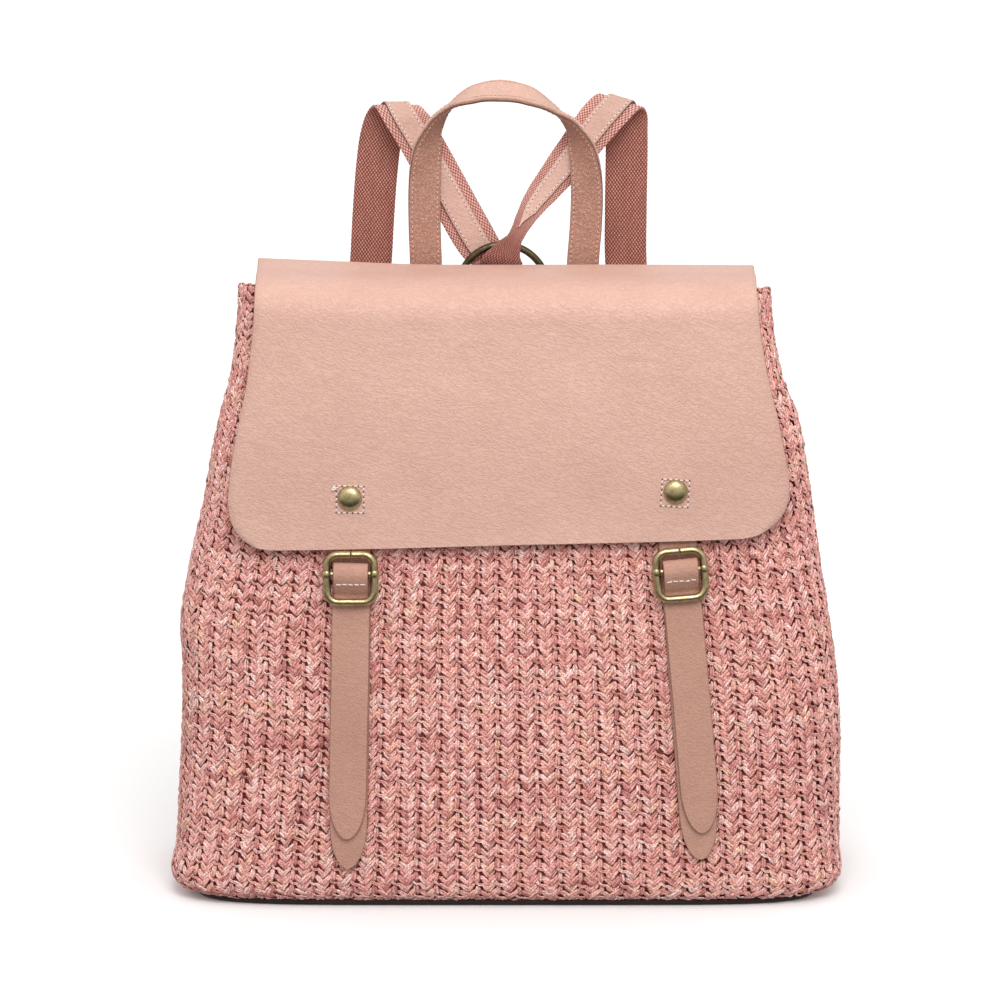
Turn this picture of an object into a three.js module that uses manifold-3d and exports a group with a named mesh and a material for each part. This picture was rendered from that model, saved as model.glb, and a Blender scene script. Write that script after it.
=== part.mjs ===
// Woven backpack: knitted straw body, leatherette flap, two buckled front
// straps, a carrying handle and a webbing shoulder strap threaded through a ring.
// Millimetres, +Z up. The front faces -Y, the wearer's back is at +Y.
// The origin is on the floor under the middle of the body.

import * as THREE from 'three';
import { mergeVertices } from 'three/addons/utils/BufferGeometryUtils.js';
import Module from 'manifold-3d';

const wasm = await Module();
wasm.setup();

// ------------------------------------------------------------ driving sizes
const WALL_T = 3.0;          // knitted straw wall
const WALL_SIDES = 56;       // facets round the body
const BASE_T = 3.0;          // base panel
const SEAM_GAP = 0.6;        // wall to base, flap to back wall
const FLAP_T = 2.0;          // flap leather
const FLAP_FRONT_GAP = 2.8;  // flap to front wall, room for the front straps
const FLAP_TOP_Z = 282.8;    // underside of the flap where it crosses the mouth
const FLAP_BACK_Z = 226.0;   // lower sewn edge of the flap on the back
const FLAP_BEND_BACK = 8.0;  // bend radius at the back edge of the mouth
const FLAP_BEND_FRONT = 8.0; // bend radius at the front edge of the mouth
const FLAP_SIDE_WRAP = 4.5;  // how far the flap's side edges lean back
const FLAP_SAG = 1.2;        // dip of the flap over the mouth
const FLAP_EDGE_Z = 168.1;   // lower edge of the flap at the middle
const FLAP_EDGE_TILT = 0.0245; // rise of that edge, left to right
const BACK_STRAP_T = 1.8;    // long front strap
const FRONT_STRAP_T = 1.6;   // short front strap round the buckle bar
const STRAP_HALF = 8.6;      // half width of both front straps
const LOOP_HALF = 7.9;       // half width inside the buckle
const TIP_LEN = 21.0;        // length of the rounded strap tip
const LAY_GAP = 0.4;         // long front strap to wall
const PLY_GAP = 0.3;         // layer to layer
const BUCKLE_W = 25.0;       // buckle, over all
const BUCKLE_H = 25.0;
const BUCKLE_WIRE = 1.75;    // wire radius
const BUCKLE_CORNER = 5.2;   // corner radius of the wire's middle line
const BAR_R = 1.4;           // centre bar radius
const NUB_R = 2.15;          // sleeve where the bar meets the side wires
const BAR_UP = 1.9;          // centre bar above the buckle's middle
const BUCKLE_OUT = 6.15;     // buckle's middle plane, out from the wall
const RIVET_R = 5.5;         // rivet dome
const HANDLE_T = 2.8;        // handle leather, two plies
const HANDLE_HALF = 7.5;     // half width of the handle
const WEB_T = 1.8;           // shoulder webbing
const WEB_HALF = 10.0;
const STRIP_T = 1.2;         // leather strip on the webbing
const STRIP_HALF = 5.5;
const STRIP_GAP = 0.45;      // strip to webbing, so that the facets of both stay clear
const RING_R = 20.8;         // ring, to the wire's middle
const RING_WIRE = 1.7;
const RING_AT = { x: -1.4, y: 44.6, z: 272.0 };
const RING_LEAN = 5.5;       // degrees, foot of the ring further back
const TAB_T = 1.4;           // leather tab that holds the ring
const TAB_HALF = 6.0;

// ------------------------------------------------------------ shape tables
const table = (columns, rows) =>
  rows.map((r) => Object.fromEntries(columns.map((c, i) => [c, r[i]])));

// body sections: half sizes to each side, and how square the corners are
const BODY = table(['z', 'left', 'right', 'front', 'back', 'power'], [
  [3.6, 149.0, 149.0, 57.5, 57.5, 6.4],
  [6.0, 153.4, 153.6, 60.4, 60.4, 6.3],
  [10.5, 156.4, 156.6, 62.2, 62.0, 6.1],
  [22, 154.2, 155.7, 62.4, 62.0, 5.6],
  [50, 152.6, 155.6, 61.4, 61.0, 5.0],
  [80, 150.9, 155.5, 59.6, 59.3, 4.7],
  [110, 150.4, 152.7, 57.2, 57.0, 4.6],
  [125, 151.2, 150.4, 55.8, 55.8, 4.6],
  [152, 146.9, 145.9, 53.0, 53.2, 4.6],
  [181, 140.3, 141.7, 49.2, 49.8, 4.7],
  [209, 135.6, 137.6, 45.4, 46.2, 4.8],
  [223, 132.3, 134.6, 43.4, 44.2, 4.8],
  [237, 128.4, 128.4, 41.3, 42.2, 4.9],
  [251, 125.6, 124.8, 39.2, 40.2, 5.0],
  [266, 123.8, 122.4, 37.2, 38.0, 5.0],
  [278, 122.9, 121.2, 35.6, 36.2, 5.0],
]);

// soft dents (+) and puffs (-) of the wall; turn runs 0 right, 1/4 back, 1/2 left
const DENTS = table(['turn', 'z', 'depth', 'turnSpan', 'zSpan'], [
  [0.0, 232, 2.2, 0.030, 46],    // right gusset fold
  [0.5, 232, 2.8, 0.030, 46],    // left gusset fold
  [0.585, 60, 2.0, 0.030, 40],   // slack lower left corner
  [0.915, 95, -1.5, 0.030, 45],  // full lower right corner
  [0.25, 120, 3.0, 0.090, 80],   // hollow of the back
]);

// flap half widths down its front
const FLAP_WIDE = table(['z', 'left', 'right'], [
  [166, 106.0, 106.5],
  [167, 112.2, 112.0],
  [169.5, 117.2, 117.4],
  [173, 120.9, 121.8],
  [177.5, 123.6, 125.2],
  [184, 125.2, 127.2],
  [191, 125.3, 127.6],
  [206, 123.4, 125.2],
  [223.5, 119.9, 121.8],
  [238, 116.9, 118.3],
  [250, 115.3, 116.1],
  [266, 113.6, 113.9],
  [274, 113.4, 113.2],
  [280, 114.2, 114.2],
  [286, 115.9, 115.8],
]);

// lift of the flap's back bend along its length
const FLAP_LIFT = table(['x', 'lift'], [
  [-120, 3.4], [-72, 1.4], [-40, 0.2], [0, 0.0], [50, 0.1], [120, -0.2],
]);

// middle line of each front strap, buckle bar and tips
const FRONT_STRAPS = [
  { side: 'left', top: 204, backTip: 20.0, frontTip: 34.2,
    line: table(['z', 'x', 'peek'], [[20, -72.2, 0.6], [73, -70.9, 0.5], [141, -69.8, 0.2], [204, -69.9, 0.0]]),
    rivet: { x: -70.2, z: 189.1 }, buckle: { x: -69.9, z: 153.2, turn: 0.4 } },
  { side: 'right', top: 206, backTip: 24.2, frontTip: 37.0,
    line: table(['z', 'x', 'peek'], [[24, 88.8, -1.5], [52, 86.6, -1.2], [94, 83.2, -0.8], [141, 79.4, -0.3], [206, 74.4, 0.0]]),
    rivet: { x: 75.9, z: 191.9 }, buckle: { x: 78.2, z: 154.8, turn: 4.6 } },
];

// handle: middle line and outward direction of its outer face, left to right;
// its ends are sewn flat on the back of the flap
const HANDLE_ENDS = table(['x', 'z'], [[-37.0, 238], [-37.2, 256], [-37.4, 270]]);
const HANDLE = table(['x', 'y', 'z', 'nx', 'ny', 'nz'], [
  [-37.7, 40.6, 286, 0.0, 1.0, 0.0],
  [-38.2, 40.8, 303, -0.1, 1.0, 0.0],
  [-38.2, 41.4, 320, -0.2, 0.95, 0.1],
  [-37.2, 42.0, 335, -0.45, 0.8, 0.2],
  [-34.0, 42.0, 347.5, -0.75, 0.45, 0.45],
  [-27.0, 41.6, 357, -0.65, 0.1, 0.75],
  [-15.0, 41.2, 363.3, -0.25, -0.35, 0.85],
  [-2.8, 41.0, 365, 0.0, -0.5, 0.85],
  [10.0, 41.2, 362.8, 0.2, -0.4, 0.87],
  [22.0, 41.6, 356.5, 0.5, -0.05, 0.8],
  [31.5, 42.0, 348, 0.75, 0.35, 0.5],
  [36.4, 42.0, 335, 0.5, 0.75, 0.25],
  [37.9, 41.4, 319, 0.2, 0.95, 0.1],
  [37.5, 40.8, 302, 0.1, 1.0, 0.0],
  [36.3, 40.6, 286, 0.0, 1.0, 0.0],
]);
const HANDLE_ENDS_RIGHT = table(['x', 'z'], [[35.9, 270], [35.7, 256], [35.6, 238]]);

// shoulder strap, from the lower left end over the fold, through the ring, over
// the right fold to the lower right end; w runs across the strap, along its folds
const STRAP_ENDS_LEFT = table(['x', 'z'], [[-107, 9.5], [-106, 26]]);
const STRAP = table(['x', 'y', 'z', 'wx', 'wy', 'wz', 'half'], [
  [-102.5, 65.0, 46, 1, 0, -0.2, 1],
  [-93.5, 72.4, 85, 1, 0, -0.2, 1],
  [-81, 76.0, 150, 1, 0, -0.17, 1],
  [-70.5, 74.0, 222, 1, 0, -0.12, 1],
  [-64.8, 70.4, 279, 1, 0, -0.08, 1],
  [-63.2, 69.3, 304, 1, 0, -0.07, 1],
  [-61.4, 69.0, 326, 1, 0, -0.1, 1],
  [-59.0, 68.0, 341.5, 1, 0, -0.12, 1],
  [-56.0, 65.4, 350.6, 1, 0, 0, 1.03],
  [-52.6, 60.6, 353.9, 1, 0, 0.05, 1.05],
  [-48.8, 56.0, 351.0, 0.97, 0, 0.15, 1.05],
  [-43.2, 54.2, 344.3, 0.88, 0, 0.45, 1],
  [-34.4, 51.0, 330.2, 0.85, 0, 0.5, 1],
  [-25.5, 48.9, 314.2, 0.86, 0, 0.5, 1],
  [-17.0, 48.6, 298.8, 0.88, 0, 0.45, 1],
  [-11.5, 48.6, 289.6, 0.95, 0, 0.3, 0.98],
  [-7.4, 47.2, 284.2, 1, 0, 0.1, 0.95],
  [-3.2, 42.4, 282.2, 0.97, 0, -0.2, 0.95],
  [-1.6, 39.6, 285.6, -0.977, 0, 0.213, 0.97],
  [1.0, 38.8, 291.2, -0.907, 0, 0.42, 0.61],
  [4.2, 38.9, 296.2, -0.86, 0, 0.5, 0.36],
  [6.5, 40.4, 300.4, -0.86, 0, 0.5, 0.38],
  [9.4, 43.0, 305.6, -0.87, 0, 0.5, 0.47],
  [13.5, 45.5, 311.9, -0.84, 0, 0.54, 0.60],
  [18.4, 47.4, 318.1, -0.8, 0, 0.6, 0.71],
  [31.0, 51.6, 333.4, -0.8, 0, 0.6, 0.9],
  [39.8, 54.8, 344.7, -0.78, 0, 0.6, 0.98],
  [47.2, 57.6, 352.3, -0.88, 0, 0.45, 1.05],
  [53.6, 61.8, 356.6, -0.94, 0, 0.34, 1.08],
  [56.6, 66.6, 352.4, -0.98, 0, 0.18, 1.04],
  [57.3, 68.6, 343, -1, 0, 0.04, 1],
  [57.4, 69.0, 329, -1, 0, 0, 1],
  [57.2, 69.3, 305, -1, 0, 0, 1],
  [57.6, 70.4, 279, -1, 0, 0.05, 1],
  [64.5, 74.0, 222, -1, 0, 0.14, 1],
  [77, 76.0, 150, -1, 0, 0.18, 1],
  [91.5, 72.4, 85, -1, 0, 0.2, 1],
  [101.5, 65.0, 46, -1, 0, 0.2, 1],
]);
const STRAP_ENDS_RIGHT = table(['x', 'z'], [[105.5, 26], [106.5, 9.5]]);
const STRAP_MEET = 19;       // row of the whole strap that lies lowest in the ring
const STRIP_FROM = 0.25;      // the leather strip starts this many rows up
const STRIP_STOP = 2;        // and stops this many rows short of the ring
const STRIP_PAST = 4;        // it starts again this many rows past the ring, where the strap is gathered

// ------------------------------------------------------------ small helpers
// smooth value of one column of a table along another
function along(rows, key, name) {
  const last = rows.length - 1;
  const slope = (j) => {
    const a = rows[Math.max(j - 1, 0)], b = rows[Math.min(j + 1, last)];
    return (b[name] - a[name]) / (b[key] - a[key]);
  };
  return (v) => {
    if (v <= rows[0][key]) return rows[0][name];
    if (v >= rows[last][key]) return rows[last][name];
    let i = 0;
    while (v > rows[i + 1][key]) i++;
    const h = rows[i + 1][key] - rows[i][key], t = (v - rows[i][key]) / h;
    const t2 = t * t, t3 = t2 * t;
    return (2 * t3 - 3 * t2 + 1) * rows[i][name] + (t3 - 2 * t2 + t) * h * slope(i)
      + (3 * t2 - 2 * t3) * rows[i + 1][name] + (t3 - t2) * h * slope(i + 1);
  };
}

const V = (x, y, z) => new THREE.Vector3(x, y, z);

// a closed solid from points and triangles, turned so that its faces look out
function solid(points, tris) {
  let volume = 0;
  const m = V(0, 0, 0);
  for (const [a, b, c] of tris) {
    m.crossVectors(points[b], points[c]);
    volume += points[a].dot(m) / 6;
  }
  const index = [];
  for (const [a, b, c] of tris) index.push(a, volume > 0 ? b : c, volume > 0 ? c : b);
  const g = new THREE.BufferGeometry();
  g.setAttribute('position', new THREE.Float32BufferAttribute(points.flatMap((p) => [p.x, p.y, p.z]), 3));
  g.setIndex(index);
  g.computeVertexNormals();
  return g;
}

// closed solid through rings of equal point count; ends capped unless closed round
function rings(list, closedRound) {
  const n = list[0].length, k = list.length, points = list.flat(), tris = [];
  const id = (i, j) => (i % k) * n + (j % n);
  const spans = closedRound ? k : k - 1;
  for (let i = 0; i < spans; i++) {
    for (let j = 0; j < n; j++) {
      tris.push([id(i, j), id(i + 1, j), id(i + 1, j + 1)]);
      tris.push([id(i, j), id(i + 1, j + 1), id(i, j + 1)]);
    }
  }
  if (!closedRound) {
    for (let j = 1; j < n - 1; j++) {
      tris.push([id(0, 0), id(0, j), id(0, j + 1)]);
      tris.push([id(k - 1, 0), id(k - 1, j + 1), id(k - 1, j)]);
    }
  }
  return solid(points, tris);
}

// a sheet of even thickness on a grid of inner points, thickened outwards
function sheet(grid, thick, outward) {
  const rows = grid.length, cols = grid[0].length;
  const inner = grid.flat(), outer = [];
  for (let i = 0; i < rows; i++) {
    for (let j = 0; j < cols; j++) {
      const du = V(0, 0, 0).subVectors(grid[i][Math.min(j + 1, cols - 1)], grid[i][Math.max(j - 1, 0)]);
      const dv = V(0, 0, 0).subVectors(grid[Math.min(i + 1, rows - 1)][j], grid[Math.max(i - 1, 0)][j]);
      const nrm = V(0, 0, 0).crossVectors(du, dv).normalize();
      outer.push(grid[i][j].clone().addScaledVector(nrm, thick * outward));
    }
  }
  const points = inner.concat(outer), off = inner.length, tris = [];
  const id = (i, j) => i * cols + j;
  for (let i = 0; i < rows - 1; i++) {
    for (let j = 0; j < cols - 1; j++) {
      const a = id(i, j), b = id(i, j + 1), c = id(i + 1, j + 1), d = id(i + 1, j);
      tris.push([a, b, c], [a, c, d], [off + a, off + c, off + b], [off + a, off + d, off + c]);
    }
  }
  const edge = [];
  for (let j = 0; j < cols; j++) edge.push(id(0, j));
  for (let i = 1; i < rows; i++) edge.push(id(i, cols - 1));
  for (let j = cols - 2; j >= 0; j--) edge.push(id(rows - 1, j));
  for (let i = rows - 2; i > 0; i--) edge.push(id(i, 0));
  for (let e = 0; e < edge.length; e++) {
    const a = edge[e], b = edge[(e + 1) % edge.length];
    tris.push([a, off + a, off + b], [a, off + b, b]);
  }
  return solid(points, tris);
}

// stations of a flat strip: middle point, outward or crosswise direction, width factor
function stations(rows) {
  return rows.map((r) => ({
    p: V(r.x, r.y, r.z), half: r.half ?? 1,
    n: 'nx' in r ? V(r.nx, r.ny, r.nz) : undefined, w: 'wx' in r ? V(r.wx, r.wy, r.wz) : undefined,
  }));
}

// a flat strip along smooth stations, from row `from` to row `to`, moved out by `lift`
function strip(list, half, thick, { from = 0, to = list.length - 1, lift = 0, perRow = 4 } = {}) {
  const curve = new THREE.CatmullRomCurve3(list.map((s) => s.p), false, 'centripetal');
  const last = list.length - 1;
  const stops = [from], out = [];
  for (let i = Math.floor(from * perRow) + 1; i < to * perRow; i++) stops.push(i / perRow);
  stops.push(to);
  for (const r of stops) {
    const k = Math.min(Math.floor(r), last - 1), f = r - k;
    const p = curve.getPoint(r / last), t = curve.getTangent(r / last);
    const w = list[k].w
      ? list[k].w.clone().normalize().lerp(list[k + 1].w.clone().normalize(), f).normalize()
      : V(0, 0, 0).crossVectors(list[k].n.clone().lerp(list[k + 1].n, f), t).normalize();
    const n = V(0, 0, 0).crossVectors(t, w).normalize();
    const h = half * (list[k].half * (1 - f) + list[k + 1].half * f);
    p.addScaledVector(n, lift);
    const corner = (a, b) => p.clone().addScaledVector(w, a * h).addScaledVector(n, b * thick / 2);
    out.push([corner(-1, -1), corner(1, -1), corner(1, 1), corner(-1, 1)]);
  }
  return rings(out, false);
}

function toManifold(geometry) {
  const g = geometry.clone();
  g.deleteAttribute('normal');
  if (g.hasAttribute('uv')) g.deleteAttribute('uv');
  const m = mergeVertices(g, 1e-4);
  return new wasm.Manifold(new wasm.Mesh({
    numProp: 3,
    vertProperties: new Float32Array(m.attributes.position.array),
    triVerts: new Uint32Array(m.index.array),
  }));
}

function fromManifold(man) {
  const m = man.getMesh();
  const g = new THREE.BufferGeometry();
  g.setAttribute('position', new THREE.Float32BufferAttribute(m.vertProperties, 3));
  g.setIndex(Array.from(m.triVerts));
  g.computeVertexNormals();
  return g;
}

// ------------------------------------------------------------ the body's form
const body = Object.fromEntries(['left', 'right', 'front', 'back', 'power'].map((c) => [c, along(BODY, 'z', c)]));

// points of one body section, evenly spaced along each quarter, pulled in by `inset`
function section(z, inset, count) {
  const n = body.power(z), quarter = count / 4, fine = 240, out = [];
  for (let q = 0; q < 4; q++) {
    const a = (q === 0 || q === 3 ? body.right(z) : body.left(z)) - inset;
    const b = (q < 2 ? body.back(z) : body.front(z)) - inset;
    const pts = [], len = [0];
    for (let i = 0; i <= fine; i++) {
      const t = (q + i / fine) * Math.PI / 2, c = Math.cos(t), s = Math.sin(t);
      pts.push([Math.sign(c) * a * Math.abs(c) ** (2 / n), Math.sign(s) * b * Math.abs(s) ** (2 / n)]);
      if (i) len.push(len[i - 1] + Math.hypot(pts[i][0] - pts[i - 1][0], pts[i][1] - pts[i - 1][1]));
    }
    let k = 0;
    for (let i = 0; i < quarter; i++) {
      const want = len[fine] * i / quarter;
      while (len[k + 1] < want) k++;
      const f = (want - len[k]) / (len[k + 1] - len[k] || 1);
      const x = pts[k][0] + (pts[k + 1][0] - pts[k][0]) * f, y = pts[k][1] + (pts[k + 1][1] - pts[k][1]) * f;
      const turn = (q + i / quarter) / 4;
      let dent = 0;
      for (const d of DENTS) {
        const away = Math.abs(turn - d.turn), du = Math.min(away, 1 - away) / d.turnSpan, dz = (z - d.z) / d.zSpan;
        dent += d.depth * Math.exp(-du * du - dz * dz);
      }
      const fx = x / (a * a), fy = y / (b * b), fl = Math.hypot(fx, fy);
      out.push([x - dent * fx / fl, y - dent * fy / fl]);
    }
  }
  return out;
}

// front or back face of the body without its dents
function faceY(x, z, side) {
  const a = x > 0 ? body.right(z) : body.left(z), n = body.power(z);
  const b = side < 0 ? body.front(z) : body.back(z);
  return side * b * Math.max(0, 1 - (Math.abs(x) / a) ** n) ** (1 / n);
}

// point and outward direction on the front (-1) or back (1), `out` mm off the wall
function onFace(x, z, out, side) {
  const e = 0.5, y = faceY(x, z, side);
  const fx = (faceY(x + e, z, side) - faceY(x - e, z, side)) / (2 * e);
  const fz = (faceY(x, z + e, side) - faceY(x, z - e, side)) / (2 * e);
  const n = V(-fx, 1, -fz).normalize().multiplyScalar(side);
  return { p: V(x, y, z).addScaledVector(n, out), n };
}
const onFront = (x, z, out) => onFace(x, z, out, -1);

// outside of the flap on the back, where the handle and the ring tab are sewn
const flapBackY = (z) => body.back(z) + SEAM_GAP + FLAP_T;

const WALL_ROWS = [3.6, 6.0, 10.5, 22, 50, 80, 110, 130, 152, 181, 209, 223, 237, 251, 266, 278];

function wovenBody() {
  const loop = (z, inset) => section(z, inset, WALL_SIDES).map(([x, y]) => V(x, y, z));
  const outside = WALL_ROWS.map((z) => loop(z, 0));
  const inside = [...WALL_ROWS].reverse().map((z) => loop(z, WALL_T));
  return rings([...outside, ...inside], true);
}

const BASE_EDGE = table(['z', 'inset'], [[0, 5.0], [0.9, 1.8], [2.0, 0.5], [BASE_T, 0.5]]);
function basePanel() {
  const z0 = BODY[0].z;
  return rings(BASE_EDGE.map((r) => section(z0, r.inset, WALL_SIDES).map(([x, y]) => V(x, y, r.z))), false);
}

// ------------------------------------------------------------ flap
const flapLeft = along(FLAP_WIDE, 'z', 'left'), flapRight = along(FLAP_WIDE, 'z', 'right');
const flapLift = along(FLAP_LIFT, 'x', 'lift');
const FLAP_COLS = 16;
const flapEdge = (x) => FLAP_EDGE_Z + FLAP_EDGE_TILT * x;

// rows of the flap from its sewn back edge over the top to its front edge; each
// gives the row's half widths and its inner point at x
function flapRows() {
  const rows = [];
  const top = FLAP_TOP_Z, yBack = body.back(274) + SEAM_GAP;
  const wide = (z) => [flapLeft(z), flapRight(z)];
  const frontY = (x, z) => {
    const w = x > 0 ? flapRight(Math.max(z, 184)) : flapLeft(Math.max(z, 184));
    return -(body.front(z) + FLAP_FRONT_GAP) + FLAP_SIDE_WRAP * Math.min(1.05, Math.abs(x) / w) ** 4;
  };
  for (const z of [FLAP_BACK_Z, 238, 250, 262, 270]) {
    rows.push({ wide: wide(286), at: (x) => V(x, body.back(z) + SEAM_GAP, z) });
  }
  const bend = 4;
  for (let i = 0; i <= bend; i++) {
    const t = (i / bend) * Math.PI / 2;
    rows.push({ wide: wide(286), at: (x) => {
      const z0 = top + flapLift(x);
      return V(x, yBack - FLAP_BEND_BACK * (1 - Math.cos(t)), z0 - FLAP_BEND_BACK * (1 - Math.sin(t)));
    } });
  }
  const mid = 5;
  for (let i = 1; i < mid; i++) {
    const f = i / mid;
    rows.push({ wide: wide(286), at: (x) => {
      const y1 = frontY(x, 275) + FLAP_BEND_FRONT;
      return V(x, (yBack - FLAP_BEND_BACK) * (1 - f) + y1 * f,
        top + flapLift(x) * (1 - 0.7 * f) - FLAP_SAG * Math.sin(Math.PI * f));
    } });
  }
  for (let i = 0; i <= bend; i++) {
    const t = (i / bend) * Math.PI / 2;
    rows.push({ wide: wide(286 - 3 * i), at: (x) => {
      const z0 = top + 0.3 * flapLift(x);
      return V(x, frontY(x, 275) + FLAP_BEND_FRONT * (1 - Math.sin(t)), z0 - FLAP_BEND_FRONT * (1 - Math.cos(t)));
    } });
  }
  const zTop = top - FLAP_BEND_FRONT;
  for (const z of [266, 252, 237, 222, 207, 196, 190, 184, 178.5, 174, 170.5, 168.2, 166.6, 166]) {
    const f = (zTop - z) / (zTop - 166);
    rows.push({ wide: wide(z), at: (x) => {
      const zz = zTop + 0.3 * flapLift(x) * (1 - f) - f * (zTop - flapEdge(x));
      return V(x, frontY(x, zz), zz);
    } });
  }
  return rows;
}

function flap() {
  const grid = flapRows().map((row) => {
    const line = [];
    for (let j = 0; j <= FLAP_COLS; j++) {
      const u = j / FLAP_COLS;
      line.push(row.at(-row.wide[0] + (row.wide[0] + row.wide[1]) * u));
    }
    return line;
  });
  return sheet(grid, FLAP_T, -1);
}

// ------------------------------------------------------------ front straps and buckles
// half width near the rounded tip, `d` from its end
const tipHalf = (d) => STRAP_HALF * Math.sqrt(Math.max(0.02, 1 - (1 - Math.min(1, d / TIP_LEN)) ** 2));

function flatRings(list, thick) {
  return rings(list.map(({ p, n, w, half }) => {
    const corner = (a, b) => p.clone().addScaledVector(w, a * half).addScaledVector(n, b * thick / 2);
    return [corner(-1, -1), corner(1, -1), corner(1, 1), corner(-1, 1)];
  }), false);
}

// stations with the strip's width lying across its run and along the wall
function layOn(points, normals, halves) {
  return points.map((p, i) => {
    const t = V(0, 0, 0).subVectors(points[Math.min(i + 1, points.length - 1)], points[Math.max(i - 1, 0)]).normalize();
    const w = V(0, 0, 0).crossVectors(normals[i], t).normalize();
    const n = V(0, 0, 0).crossVectors(t, w).normalize();
    return { p, n, w, half: halves[i] };
  });
}

const TIP_STEPS = [0, 0.5, 1.4, 3, 5.5, 9, 14, TIP_LEN];
const STRAP_ROWS = [60, 80, 100, 118, 128, 138, 148, 160, 175, 190];

function backStrap(s) {
  const x = along(s.line, 'z', 'x');
  const zs = [...TIP_STEPS.map((d) => s.backTip + d), ...STRAP_ROWS.filter((z) => z > s.backTip + TIP_LEN + 5), s.top];
  const at = zs.map((z) => onFront(x(z) , z, LAY_GAP + BACK_STRAP_T / 2));
  return flatRings(layOn(at.map((a) => a.p), at.map((a) => a.n), zs.map((z) => tipHalf(z - s.backTip))), BACK_STRAP_T);
}

// side view of the strip round the buckle bar: up is along the wall from the
// bar, out is off the wall; the strip runs from its short end behind the bar
const LOOP = table(['up', 'out'], [
  [-5.0, 3.4], [-2.0, 3.36], [0, 3.35], [1.98, 4.17], [2.8, 6.15], [1.98, 8.13], [0, 8.95],
  [-2.0, 8.6], [-4.6, 7.2], [-7.2, 5.2], [-9.2, 3.6], [-11.2, 3.3], [-16, 3.3],
]);

function frontStrap(s) {
  const x = along(s.line, 'z', 'x'), peek = along(s.line, 'z', 'peek');
  const zBar = s.buckle.z + BAR_UP, out = LAY_GAP + BACK_STRAP_T + PLY_GAP + FRONT_STRAP_T / 2;
  const pts = [], nrm = [], half = [];
  for (const r of LOOP) {
    const z = zBar + r.up, a = onFront(x(z), z, r.out);
    pts.push(a.p); nrm.push(a.n); half.push(LOOP_HALF);
  }
  const zs = [...STRAP_ROWS.filter((z) => z > s.frontTip + TIP_LEN + 5 && z < zBar - 20).reverse(),
    ...TIP_STEPS.map((d) => s.frontTip + d).reverse()];
  for (const z of zs) {
    const a = onFront(x(z) - peek(z), z, out);
    pts.push(a.p); nrm.push(a.n); half.push(tipHalf(z - s.frontTip));
  }
  // across the fold the strip keeps one width direction
  const list = layOn(pts, nrm, half);
  const across = list[list.length - 6].w;
  for (let i = 0; i < list.length; i++) {
    const t = V(0, 0, 0).subVectors(pts[Math.min(i + 1, pts.length - 1)], pts[Math.max(i - 1, 0)]).normalize();
    const w = across.clone().addScaledVector(t, -across.dot(t)).normalize();
    list[i].w = w;
    list[i].n = V(0, 0, 0).crossVectors(t, w).normalize();
  }
  return flatRings(list, FRONT_STRAP_T);
}

// round wire bent to a closed line
function wireLoop(line, radius, sides) {
  const k = line.length, out = [];
  for (let i = 0; i < k; i++) {
    const t = V(0, 0, 0).subVectors(line[(i + 1) % k], line[(i + k - 1) % k]).normalize();
    const up = V(0, 0, 1), side = V(0, 0, 0).crossVectors(t, up).normalize();
    const ring = [];
    for (let j = 0; j < sides; j++) {
      const a = 2 * Math.PI * j / sides;
      ring.push(line[i].clone().addScaledVector(side, radius * Math.cos(a)).addScaledVector(up, radius * Math.sin(a)));
    }
    out.push(ring);
  }
  return rings(out, true);
}

// buckle in its own plane: x across, y up the strap, z outwards
function buckle() {
  const hw = BUCKLE_W / 2 - BUCKLE_WIRE, hh = BUCKLE_H / 2 - BUCKLE_WIRE, r = BUCKLE_CORNER, line = [];
  const corners = [[1, 1, 0], [-1, 1, 1], [-1, -1, 2], [1, -1, 3]];
  for (const [sx, sy, q] of corners) {
    for (let i = 0; i <= 4; i++) {
      const a = (q + i / 4) * Math.PI / 2;
      line.push(V(sx * (hw - r) + r * Math.cos(a), sy * (hh - r) + r * Math.sin(a), 0));
    }
  }
  let man = toManifold(wireLoop(line, BUCKLE_WIRE, 10));
  const bar = new THREE.CylinderGeometry(BAR_R, BAR_R, 2 * hw, 10).rotateZ(Math.PI / 2).translate(0, BAR_UP, 0);
  man = man.add(toManifold(bar));
  for (const sx of [-1, 1]) {
    const nub = new THREE.CylinderGeometry(NUB_R, NUB_R, 3.6, 12).translate(sx * hw, BAR_UP, 0);
    man = man.add(toManifold(nub));
  }
  return fromManifold(man);
}

const RIVET_PROFILE = table(['r', 'h'], [
  [0, 0], [0.9, 0], [1, 0.12], [0.985, 0.3], [0.86, 0.46], [0.62, 0.56], [0.32, 0.615], [0, 0.63],
]);
function rivet() {
  const pts = RIVET_PROFILE.map((p) => new THREE.Vector2(p.r * RIVET_R, p.h * RIVET_R));
  return new THREE.LatheGeometry(pts, 20).rotateX(Math.PI / 2);
}

// places a piece made in its own plane on the front: z outwards, y up the wall
function placeOnFront(mesh, x, z, out, turn) {
  const { p, n } = onFront(x, z, out);
  const across = V(1, 0, 0).addScaledVector(n, -n.x).normalize();
  const up = V(0, 0, 0).crossVectors(n, across);
  mesh.matrix.makeBasis(across, up, n);
  mesh.quaternion.setFromRotationMatrix(mesh.matrix);
  mesh.position.copy(p);
  mesh.rotateZ(THREE.MathUtils.degToRad(turn));
}

// ------------------------------------------------------------ handle, ring, shoulder strap
function sewnOnFlap(rows, thick) {
  return rows.map((r) => ({ p: V(r.x, flapBackY(r.z) + PLY_GAP + thick / 2, r.z), n: V(0, 1, 0), half: 1 }));
}
function sewnOnBack(rows, thick) {
  return rows.map((r) => {
    const { p, n } = onFace(r.x, r.z, SEAM_GAP + thick / 2, 1), s = -Math.sign(r.x);
    return { p, n, w: V(s, s * -n.x / n.y, s * -0.06), half: 1 };
  });
}

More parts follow.
